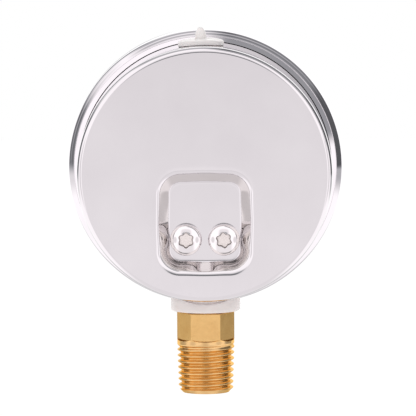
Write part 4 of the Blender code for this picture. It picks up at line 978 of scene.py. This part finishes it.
def hexagon_radius(heights, angles):
    """Radius of the hexagon on a round bar, whose flats end below in a ramp."""
    step = math.tau / HEX_SIDES
    off_flat = angles % step - step / 2
    flat_end = HEX_BOTTOM + HEX_FLAT_CURVE * np.abs(off_flat / (step / 2)) ** HEX_FLAT_POWER
    ramp = np.clip((flat_end + HEX_RAMP - heights) / HEX_RAMP, 0.0, 1.0)
    half_flats = HEX_HALF_FLATS + (STEM_RADIUS - HEX_HALF_FLATS) * ramp
    return np.minimum(half_flats / np.cos(off_flat), STEM_RADIUS)


def stem_rings():
    """Skin of the stem: its port, rows that follow the thread's helix, then level rows up the hexagon."""
    angles = np.linspace(0.0, math.tau, STEM_COLUMNS + 1)
    rings = [
        ring_z(PORT_EYE, PORT_DEPTH, angles),
        ring_z(PORT_RADIUS, PORT_DEPTH, angles),
        ring_z(PORT_RADIUS, PORT_CHAMFER, angles),
        ring_z(PORT_RADIUS + PORT_CHAMFER, 0.0, angles),
    ]
    last_row = round(THREAD_LENGTH / THREAD_PITCH * ROWS_PER_PITCH) + 2
    for row in np.arange(-ROWS_PER_PITCH, last_row) / ROWS_PER_PITCH:
        heights = np.clip((row + angles / math.tau) * THREAD_PITCH, 0.0, THREAD_LENGTH)
        rings.append(ring_z(thread_radius(heights, angles), heights, angles))
    flat_start = HEX_BOTTOM + HEX_FLAT_CURVE + HEX_RAMP
    levels = list(np.linspace(THREAD_LENGTH, HEX_BOTTOM, THREAD_END_LEVELS)[1:])
    levels += list(np.linspace(HEX_BOTTOM, flat_start, HEX_RAMP_ROWS + 1)[1:])
    levels += list(np.linspace(flat_start, HEX_TOP - HEX_TOP_CHAMFER, HEX_TOP_LEVELS)[1:])
    rings += [ring_z(hexagon_radius(level, angles), level, angles) for level in levels]
    rings.append(ring_z(hexagon_radius(HEX_TOP, angles) - HEX_TOP_CHAMFER, HEX_TOP, angles))
    inside_block = AXIS_Z - BLOCK_TOP - BLOCK_HEIGHT * NECK_IN_BLOCK
    return rings + [ring_z(NECK_RADIUS, z, angles) for z in (HEX_TOP, inside_block)]


def add_block(mesh):
    """Add the bevelled block inside the case to the stem's mesh."""
    bm = bmesh.new()
    bm.from_mesh(mesh)
    block = bmesh.ops.create_cube(bm, size=1.0)["verts"]
    size = (2 * BLOCK_HALF_WIDTH, BLOCK_BACK - BLOCK_FRONT, BLOCK_HEIGHT)
    bmesh.ops.scale(bm, verts=block, vec=size)
    centre = (0.0, (BLOCK_BACK + BLOCK_FRONT) / 2, AXIS_Z - BLOCK_TOP - BLOCK_HEIGHT / 2)
    bmesh.ops.translate(bm, verts=block, vec=centre)
    edges = list({edge for vert in block for edge in vert.link_edges})
    bmesh.ops.bevel(bm, geom=edges, offset=BLOCK_BEVEL, segments=BEVEL_STEPS, affect="EDGES", profile=0.5)
    bm.to_mesh(mesh)
    bm.free()
    return mesh


def make_stem(finishes):
    """Brass stem with a cut taper thread, a milled hexagon and a port, and the block inside the case."""
    mesh = tidy(grid_mesh("threaded_stem", stem_rings(), loop_columns=False), STEM_WELD, fill=True)
    mesh = smooth(add_block(mesh), STEM_CRISP_EDGE)

    def brass_of(face):
        """Number of the brass of a face: milled above, turned on the thread."""
        return 1 if face.center.z < HEX_BOTTOM else 0

    brasses = [finishes["milled_brass"], finishes["turned_brass"]]
    add_piece("threaded_stem", mesh, brasses, "housing", ["socket"], brass_of)


def make_stem_gasket(finishes):
    """Ring between the hexagon and the case, hollowed on top to sit under the round shell."""
    angles = round_angles(GASKET_COLUMNS)
    touch = AXIS_Z - math.sqrt(CASE_RADIUS**2 - GASKET_RADIUS**2) - SEAT_GAP

    def lip_top(radius):
        """Height of the hollow lip round the ring."""
        across = radius * np.cos(angles)
        return touch + (across**2 - GASKET_RADIUS**2) / (2 * GASKET_SADDLE)

    def under_case(radius):
        """Height just under the round shell round the ring."""
        across = radius * np.cos(angles)
        return AXIS_Z - np.sqrt((CASE_RADIUS + SEAT_GAP) ** 2 - across**2)

    corner = (GASKET_RADIUS - GASKET_EDGE_ROUND, GASKET_BOTTOM + GASKET_EDGE_ROUND)
    rows = [(GASKET_BORE, GASKET_BOTTOM)]
    rows += list(arc_points(corner, GASKET_EDGE_ROUND, -90.0, 0.0, GASKET_EDGE_STEPS))
    rows.append((GASKET_RADIUS, (lip_top(GASKET_RADIUS) + corner[1]) / 2))
    soft = GASKET_EDGE_ROUND / 2
    for cosine, sine in quarter_turn(GASKET_LIP_RINGS):
        radius = GASKET_RADIUS - soft * (1 - cosine)
        rows.append((radius, lip_top(radius) - soft * (1 - sine)))
    collar = STEM_HOLE_RADIUS - HOLE_FIT
    collar_top = AXIS_Z - CASE_RADIUS + 2 * CASE_WALL
    rows += [
        (GASKET_SHOULDER, lip_top(GASKET_SHOULDER)),
        (GASKET_SHOULDER, under_case(GASKET_SHOULDER)),
        (collar, under_case(STEM_HOLE_RADIUS)),
        (collar, collar_top),
        (GASKET_BORE, collar_top),
    ]
    mesh = looped_mesh("stem_gasket_ring", [ring_z(radius, z, angles) for radius, z in rows])
    polymer = [finishes["milky_polymer"]]
    add_piece(
        "stem_gasket_ring", smooth(mesh, SOFT_EDGE), polymer, "housing", ["stem_gasket"]
    )


def make_plug(finishes):
    """Soft plug: a flange bent over the shell, a bullet nipple and a neck through the wall."""
    angles = round_angles(PLUG_COLUMNS)
    neck_end = CASE_RADIUS - PLUG_NECK_LENGTH
    seat = CASE_RADIUS + SEAT_GAP
    seat_edge = PLUG_EDGE_ROUND / 3
    flange_top = CASE_RADIUS + PLUG_FLANGE_THICKNESS

    def over_shell(radius, level):
        """Radius, and heights that follow a round shell of a radius."""
        return radius, np.sqrt(level**2 - (radius * np.cos(angles)) ** 2)

    rows = [
        (PLUG_NECK_RADIUS * PLUG_NECK_EYE, neck_end),
        (PLUG_NECK_RADIUS * PLUG_NECK_TIP, neck_end),
        (PLUG_NECK_RADIUS, CASE_RADIUS - PLUG_NECK_LENGTH * PLUG_NECK_STRAIGHT),
        over_shell(PLUG_NECK_RADIUS, seat),
        over_shell(PLUG_SEAT_MIDDLE, seat),
        over_shell(PLUG_FLANGE_RADIUS - seat_edge, seat),
        over_shell(PLUG_FLANGE_RADIUS, seat + seat_edge),
    ]
    for cosine, sine in quarter_turn(PLUG_EDGE_RINGS):
        radius = PLUG_FLANGE_RADIUS - PLUG_EDGE_ROUND * (1 - cosine)
        rows.append(over_shell(radius, flange_top - PLUG_EDGE_ROUND * (1 - sine)))
    rows += [over_shell(radius, flange_top) for radius in PLUG_TOP_RADII]
    for cosine, sine in quarter_turn(PLUG_FILLET_RINGS):
        radius = PLUG_NIPPLE_RADIUS + PLUG_FILLET * (1 - sine)
        rows.append((radius, flange_top + PLUG_FILLET * (1 - cosine)))
    straight = flange_top + PLUG_NIPPLE_STRAIGHT
    bullet = PLUG_NIPPLE_LENGTH - PLUG_NIPPLE_STRAIGHT
    for cosine, sine in quarter_turn(PLUG_NIPPLE_RINGS, PLUG_NIPPLE_END):
        rows.append((PLUG_NIPPLE_RADIUS * cosine, straight + bullet * sine))
    mesh = capped_mesh("bullet_plug", [ring_z(radius, z, angles) for radius, z in rows])
    mesh.transform(plug_matrix())
    silicone = [finishes["milky_silicone"]]
    add_piece("bullet_plug", smooth(mesh, SOFT_EDGE), silicone, "plug", ["fill_plug"])


def star_reach(angles):
    """Distance from a screw's axis to the outline of its six-lobed recess, at each angle."""
    lobe = (0.5 + 0.5 * np.cos(SCREW_STAR_LOBES * (angles - math.pi / 2))) ** SCREW_STAR_POINT
    return SCREW_STAR_RADIUS - 2 * SCREW_STAR_WAVE * (1 - lobe)


def screw_pattern():
    """One domed screw about +Y at the origin of its head's base, with its star recess and shank."""
    angles = round_angles(SCREW_COLUMNS)
    star = star_reach(angles)
    rim = star + SCREW_STAR_EDGE
    floor = SCREW_HEAD_HEIGHT - SCREW_STAR_DEPTH

    def dome(radius):
        """Height of the dome at a radius."""
        share = np.clip(radius / SCREW_HEAD_RADIUS, 0.0, 1.0)
        return SCREW_HEAD_EDGE + (SCREW_HEAD_HEIGHT - SCREW_HEAD_EDGE) * np.sqrt(1.0 - share**2)

    rows = [(star * share, floor) for share in SCREW_FLOOR_SHARES]
    rows.append((star - SCREW_STAR_DRAFT, floor))
    for cosine, sine in quarter_turn(SCREW_STAR_RINGS):
        rows.append((rim - SCREW_STAR_EDGE * cosine, dome(rim) - SCREW_STAR_EDGE * (1 - sine)))
    for share in np.linspace(0.0, 1.0, SCREW_DOME_RINGS)[1:]:
        even = SCREW_HEAD_RADIUS * math.sin(SCREW_DOME_START + share * SCREW_DOME_SWEEP)
        radius = rim + (even - rim) * min(1.0, share * SCREW_DOME_ROUNDING)
        rows.append((radius, dome(radius)))
    skirt = BACK_Y - POCKET_DEPTH + SEAT_GAP - SCREW_HEAD_BASE
    shank = SCREW_END - SCREW_HEAD_BASE
    rows += [
        (SCREW_HEAD_RADIUS, 0.0),
        (SCREW_HEAD_RADIUS, skirt * SCREW_SKIRT_STRAIGHT),
        (SCREW_HEAD_RADIUS * SCREW_SKIRT_TIP, skirt),
        (SCREW_SKIRT_BORE, skirt),
        (SCREW_SKIRT_BORE, 0.0),
        (SCREW_SHANK_RADIUS, 0.0),
        (SCREW_SHANK_RADIUS, shank * SCREW_SHANK_STRAIGHT),
        (SCREW_SHANK_RADIUS * SCREW_SHANK_TIP, shank),
    ]
    rings = [ring_y(radius, y, angles, 0.0) for radius, y in rows]
    return smooth(capped_mesh("screw_pattern", rings), SOFT_EDGE)


def geometry_tree(name, inputs):
    """Geometry Nodes tree with named inputs, and the sockets of its two ends."""
    shape = {"Geometry": "Geometry"}
    return socket_tree(name, "GeometryNodeTree", {**shape, **inputs, "Material": "Material"}, shape)


def set_on_points(tree, points, shape, euler, given, put):
    """End of a tree: a shape on each point, turned, made real and given the tree's material."""
    turn = add_node(tree, "FunctionNodeEulerToRotation", {"Euler": euler})
    inputs = {
        "Points": points.outputs["Points"],
        "Instance": shape,
        "Rotation": turn.outputs["Rotation"],
    }
    setting = add_node(tree, "GeometryNodeInstanceOnPoints", inputs)
    real = add_node(tree, "GeometryNodeRealizeInstances", {"Geometry": setting.outputs["Instances"]})
    inputs = {"Geometry": real.outputs["Geometry"], "Material": given["Material"]}
    dressed = add_node(tree, "GeometryNodeSetMaterial", inputs)
    tree.links.new(dressed.outputs["Geometry"], put["Geometry"])


def grown(name, tree, values):
    """Plain mesh that a Geometry Nodes tree makes from its named input values."""
    obj = scene_object(name, bpy.data.meshes.new(name))
    modifier = obj.modifiers.new(name, "NODES")
    modifier.node_group = tree
    for item in tree.interface.items_tree:
        if item.item_type == "SOCKET" and item.in_out == "INPUT" and item.name in values:
            modifier[item.identifier] = values[item.name]
    obj.update_tag()
    return baked(obj, name)


def screw_places_tree():
    """Tree that sets a screw pattern on a point, turned about its own axis."""
    inputs = {"Pattern": "Object", "Place": "Vector", "Turn": "Vector"}
    tree, given, put = geometry_tree("screw_places", inputs)
    points = add_node(tree, "GeometryNodePoints", {"Count": 1, "Position": given["Place"]})
    pattern = add_node(tree, "GeometryNodeObjectInfo", {"Object": given["Pattern"]})
    set_on_points(tree, points, pattern.outputs["Geometry"], given["Turn"], given, put)
    return tree


def make_case_screws(finishes):
    """Two domed screws in the pocket, each turned as it was driven home."""
    tree = screw_places_tree()
    pattern = scene_object("screw_pattern", screw_pattern())
    # the recess sides take a dark steel that paints the shade inside the recess
    head, side, floor = "plated_screw_steel", "broached_recess_steel", "coined_recess_steel"
    steels = [finishes[name] for name in (head, side, floor)]
    floor_top = SCREW_HEAD_BASE + SCREW_HEAD_HEIGHT - SCREW_STAR_DEPTH + SEAT_GAP
    for number, (x_side, degrees) in enumerate(zip((1.0, -1.0), SCREW_TURNS), 1):
        place = (x_side * SCREW_SPACING / 2, SCREW_HEAD_BASE, AXIS_Z - SCREW_DROP)

        def steel_of(face, place=place):
            """Number of the steel of a face: the head's, the recess side's dark steel that paints the shade
            inside the recess, or its floor's.
            """
            off_axis = math.hypot(face.center.x - place[0], face.center.z - place[2])
            if face.center.y <= SCREW_HEAD_BASE or off_axis >= SCREW_STAR_RADIUS:
                return 0
            if abs(face.normal.y) < SCREW_STAR_SIDE:
                return 1
            return 2 if face.center.y < floor_top else 0

        name = f"domed_screw_{number}"
        turn = (0.0, math.radians(degrees), 0.0)
        values = {"Pattern": pattern, "Place": place, "Turn": turn, "Material": steels[0]}
        mesh = grown(name, tree, values)
        nodes = [f"case_screw_{number}"]
        add_piece(name, mesh, steels, "housing", nodes, steel_of)
    bpy.data.objects.remove(pattern)


def tick_tree():
    """Tree that sets flat bars along an arc about the case's axis, each pointing at its centre."""
    inputs = {"Count": "Int", "Radius": "Float", "Start": "Float", "Step": "Float"}
    tree, given, put = geometry_tree("scale_ticks", {**inputs, "Size": "Vector", "Centre": "Vector"})
    number = tree.nodes.new("GeometryNodeInputIndex").outputs["Index"]
    angle = worked(tree, "ADD", worked(tree, "MULTIPLY", number, given["Step"]), given["Start"])
    across = worked(tree, "MULTIPLY", worked(tree, "COSINE", angle), given["Radius"])
    up = worked(tree, "MULTIPLY", worked(tree, "SINE", angle), given["Radius"])
    spot = add_node(tree, "ShaderNodeCombineXYZ", {"X": across, "Z": up})
    shift = add_node(tree, "ShaderNodeVectorMath", {0: spot.outputs["Vector"], 1: given["Centre"]})
    inputs = {"Count": given["Count"], "Position": shift.outputs["Vector"]}
    points = add_node(tree, "GeometryNodePoints", inputs)
    bar = add_node(tree, "GeometryNodeMeshCube", {"Size": given["Size"]})
    turn = add_node(tree, "ShaderNodeCombineXYZ", {"Y": worked(tree, "MULTIPLY", angle, -1.0)})
    set_on_points(tree, points, bar.outputs["Mesh"], turn.outputs["Vector"], given, put)
    return tree


def printed_words(name, words, size, place, ink):
    """Flat printed lettering on the dial, read from the dial's side."""
    curve = bpy.data.curves.new(name, "FONT")
    curve.body = words
    curve.size = size
    curve.align_x = "CENTER"
    curve.align_y = "CENTER"
    curve.extrude = PRINT_THICKNESS / 2
    curve.resolution_u = LETTER_STEPS
    mesh = baked(scene_object(name + "_text", curve), name)
    mesh.transform(Matrix.Translation(place) @ Matrix.Rotation(math.pi / 2, 4, "X"))
    add_piece(name, mesh, [ink], "housing")


def make_dial_print(finishes):
    """Printed scale: an arc, long and short ticks, plain numbers and the unit."""
    ink = finishes["black_ink"]
    tree = tick_tree()
    level = DIAL_FRONT - PRINT_THICKNESS / 2
    for name, (divisions, radius, length, width) in TICK_ROWS.items():
        values = {
            "Count": divisions + 1,
            "Radius": radius,
            "Start": math.radians(POINTER_ZERO),
            "Step": math.radians(-POINTER_TRAVEL / divisions),
            "Size": (length, PRINT_THICKNESS, width),
            "Centre": (0.0, level, AXIS_Z),
            "Material": ink,
        }
        add_piece(name, grown(name, tree, values), [ink], "housing")
    turns = np.radians(np.linspace(POINTER_ZERO, POINTER_ZERO - POINTER_TRAVEL, SCALE_ARC_POINTS))
    low, high = SCALE_ARC_RADII
    section = ((low, level), (high, level), (high, DIAL_FRONT), (low, DIAL_FRONT))
    rings = np.transpose([ring_y(radius, y, turns) for radius, y in section], (1, 0, 2))
    add_piece("scale_arc", capped_mesh("scale_arc", rings), [ink], "housing")
    for value in range(0, SCALE_END + 1, NUMBER_STEP):
        spot = unit(POINTER_ZERO - POINTER_TRAVEL * value / SCALE_END) * NUMBER_RADIUS
        place = (spot[0], level, AXIS_Z + spot[1])
        printed_words(f"number_{value}", str(value), NUMBER_SIZE, place, ink)
    printed_words("unit_word", UNIT_WORD, UNIT_SIZE, (0.0, level, AXIS_Z - UNIT_DROP), ink)


def make_pointer(finishes, nodes):
    """Needle with softened edges, and its turned hub."""
    mesh = tidy(nodes["pointer"].data.copy(), NEEDLE_WELD, outwards=False)
    bm = bmesh.new()
    bm.from_mesh(mesh)
    flat = math.radians(NEEDLE_FLAT_ANGLE)
    bmesh.ops.dissolve_limit(bm, angle_limit=flat, verts=bm.verts, edges=bm.edges)
    bm.to_mesh(mesh)
    bm.free()
    raw = scene_object("needle_raw", mesh)
    soft = raw.modifiers.new("soft", "BEVEL")
    soft.width = NEEDLE_BEVEL
    soft.segments = BEVEL_STEPS
    soft.limit_method = "ANGLE"
    mesh = smooth(baked(raw, "needle"), SOFT_EDGE)
    paint = [finishes["black_pointer_paint"]]
    add_piece("needle", mesh, paint, "pointer", ["pointer"])
    low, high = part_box("pointer_hub")
    flange = (high.x - low.x) / 2
    profile = softened(
        [
            (HUB_BORE, high.y, 0.0),
            (flange, high.y, HUB_FLANGE_EDGE),
            (flange, HUB_STEP_Y, HUB_FLANGE_EDGE),
            (HUB_BOSS, HUB_STEP_Y, 0.0),
            (HUB_BOSS, low.y, HUB_BOSS_EDGE),
            (HUB_BORE, low.y, 0.0),
        ]
    )
    mesh = smooth(turned_ring("needle_hub", profile, HUB_STEPS))
    add_piece("needle_hub", mesh, [finishes["milled_brass"]], "pointer", ["pointer_hub"])


def make_tube(finishes):
    """Flattened tube bent in a C."""
    spin = round_angles(TUBE_FACETS)
    across_power, deep_power = TUBE_FLATNESS
    across = np.sign(np.cos(spin)) * np.abs(np.cos(spin)) ** across_power * TUBE_THICKNESS / 2
    deep = np.sign(np.sin(spin)) * np.abs(np.sin(spin)) ** deep_power * TUBE_WIDTH / 2
    radius = TUBE_RADIUS + across
    rings = []
    for turn in np.linspace(TUBE_END, TUBE_FOOT, TUBE_SECTIONS + 1):
        x, z = unit(turn)
        rings.append(np.stack([radius * x, TUBE_Y + deep, AXIS_Z + radius * z], axis=1))
    mesh = smooth(capped_mesh("drawn_tube", rings), TUBE_CRISP_EDGE)
    mesh.materials.append(finishes["drawn_bronze"])
    tube = scene_object("drawn_tube", mesh)
    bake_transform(tube)
    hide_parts("bourdon_tube")


def plain_rays(tree):
    """Sockets of the light path, and a share that is 1 for rays of the camera, also through glass."""
    path = tree.nodes.new("ShaderNodeLightPath").outputs
    return path, worked(tree, "MAXIMUM", path["Is Camera Ray"], path["Is Transmission Ray"])


def make_floor():
    """Pale floor well under the stem's end, almost plain white to the camera; mirrors don't see it."""
    half = FLOOR_HALF_SIZE
    mesh = bpy.data.meshes.new("studio_floor")
    spots = [(-half, -half, FLOOR_Z), (half, -half, FLOOR_Z), (half, half, FLOOR_Z), (-half, half, FLOOR_Z)]
    mesh.from_pydata(spots, [], [(0, 1, 2, 3)])
    floor = scene_object("studio_floor", mesh)
    material = bpy.data.materials.new("studio_white")
    material.use_nodes = True
    tree = material.node_tree
    shader = tree.nodes["Principled BSDF"]
    shader.inputs["Base Color"].default_value = FLOOR_COLOUR
    shader.inputs["Roughness"].default_value = FLOOR_ROUGHNESS
    share = worked(tree, "MULTIPLY", plain_rays(tree)[1], FLOOR_GLOW_SHARE)
    glow = add_node(tree, "ShaderNodeEmission", {"Strength": FLOOR_GLOW})
    inputs = {"Fac": share, 1: shader.outputs["BSDF"], 2: glow.outputs["Emission"]}
    mix = add_node(tree, "ShaderNodeMixShader", inputs)
    tree.links.new(mix.outputs["Shader"], tree.nodes["Material Output"].inputs["Surface"])
    mesh.materials.append(material)
    floor.visible_glossy = False


def dark_spot(tree, heading, centre, inner, outer, depth):
    """Share of light that a soft round flag takes away round a direction."""
    inputs = {0: heading, 1: Vector(centre).normalized()}
    near = add_node(tree, "ShaderNodeVectorMath", inputs, operation="DOT_PRODUCT").outputs["Value"]
    edge = math.cos(math.radians(outer))
    full = math.cos(math.radians(inner))
    return mapped(tree, near, edge, full, 0.0, depth, "SMOOTHSTEP")


def dark_wall(tree, heading, spans, depth):
    """Share of light that a dark side of the room takes away within spans of direction."""
    parts = add_node(tree, "ShaderNodeSeparateXYZ", {"Vector": heading}).outputs
    shade = depth
    for axis, (low, rise, high, fall) in zip("XYZ", spans):
        above = mapped(tree, parts[axis], low, low + rise, 0.0, 1.0, "SMOOTHSTEP")
        below = mapped(tree, parts[axis], high - fall, high, 1.0, 0.0, "SMOOTHSTEP")
        shade = worked(tree, "MULTIPLY", shade, worked(tree, "MULTIPLY", above, below))
    return shade


def make_world():
    """White studio: even light, with dark sides that only mirrors see."""
    world = bpy.data.worlds.new("studio")
    bpy.context.scene.world = world
    world.use_nodes = True
    tree = world.node_tree
    heading = tree.nodes.new("ShaderNodeTexCoord").outputs["Generated"]
    shades = [dark_spot(tree, heading, *spot) for spot in STUDIO_SPOTS.values()]
    shades += [dark_wall(tree, heading, wall[:3], wall[3]) for wall in STUDIO_WALLS.values()]
    light = MIRROR_LEVEL
    for shade in shades:
        light = worked(tree, "MULTIPLY", light, worked(tree, "SUBTRACT", 1.0, shade))
    path, plain = plain_rays(tree)
    soft = worked(tree, "MULTIPLY", path["Is Diffuse Ray"], SOFT_LEVEL)
    even = worked(tree, "MAXIMUM", plain, soft)
    strength = worked(tree, "ADD", even, worked(tree, "MULTIPLY", path["Is Glossy Ray"], light))
    front = dark_spot(tree, heading, *FRONT_TINT_SPOT, 1.0)
    mirrored = worked(tree, "MULTIPLY", front, path["Is Glossy Ray"])
    tint = mix_colour(tree, mirrored, (1.0, 1.0, 1.0), FRONT_TINT)
    dimmest, brightest = (share * MIRROR_LEVEL for share in SHADE_TINT_SPAN)
    bright = worked(tree, "MAXIMUM", mapped(tree, light, dimmest, brightest), even)
    tint = mix_colour(tree, bright, SHADE_TINT, tint)
    background = tree.nodes["Background"]
    tree.links.new(tint, background.inputs["Color"])
    tree.links.new(strength, background.inputs["Strength"])


def make_lamps():
    """Two soft lamps aimed at the middle of the case, which mirrors don't see."""
    for name, (place, size, power) in SOFTBOXES.items():
        data = bpy.data.lights.new(name, "AREA")
        data.size = size
        data.energy = power
        lamp = scene_object(name, data)
        lamp.location = place
        aim = Vector((0.0, 0.0, AXIS_Z)) - Vector(place)
        lamp.rotation_euler = aim.to_track_quat("-Z", "Y").to_euler()
        lamp.visible_glossy = False


def make_camera():
    """Camera behind the gauge and a little above it, as the photograph was taken."""
    elevation = math.radians(CAMERA_ELEVATION)
    turn = math.radians(CAMERA_TURN)
    roll = math.radians(CAMERA_ROLL)
    level = math.cos(elevation)
    back = Vector((math.sin(turn) * level, math.cos(turn) * level, math.sin(elevation)))
    right = Vector((-math.cos(turn), math.sin(turn), 0.0))
    up = back.cross(right)
    tilted_right = right * math.cos(roll) + up * math.sin(roll)
    tilted_up = up * math.cos(roll) - right * math.sin(roll)
    data = bpy.data.cameras.new("photo_camera")
    data.sensor_width = SENSOR_WIDTH
    data.lens = CAMERA_PIXELS_PER_METRE * CAMERA_DISTANCE / IMAGE_SIZE * SENSOR_WIDTH
    data.clip_end = CAMERA_REACH
    camera = scene_object("photo_camera", data)
    place = Vector(CAMERA_TARGET) + back * CAMERA_DISTANCE
    axes = Matrix((tilted_right, tilted_up, back)).transposed().to_4x4()
    camera.matrix_world = Matrix.Translation(place) @ axes
    bpy.context.scene.camera = camera


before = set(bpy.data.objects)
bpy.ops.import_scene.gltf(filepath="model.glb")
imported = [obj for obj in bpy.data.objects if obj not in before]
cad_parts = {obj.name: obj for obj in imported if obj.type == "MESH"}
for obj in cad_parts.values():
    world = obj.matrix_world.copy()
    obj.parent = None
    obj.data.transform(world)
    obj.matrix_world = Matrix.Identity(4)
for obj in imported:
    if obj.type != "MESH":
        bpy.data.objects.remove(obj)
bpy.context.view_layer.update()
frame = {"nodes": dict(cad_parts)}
bpy.context.scene.view_settings.view_transform = "Standard"
make_camera()
make_world()
make_lamps()
make_floor()
finishes = make_finishes()
dress_carried_nodes(finishes, frame["nodes"])
make_case(finishes)
make_bezel(finishes)
make_window(finishes)
make_stem(finishes)
make_stem_gasket(finishes)
make_plug(finishes)
make_case_screws(finishes)
make_dial_print(finishes)
make_pointer(finishes, frame["nodes"])
make_tube(finishes)
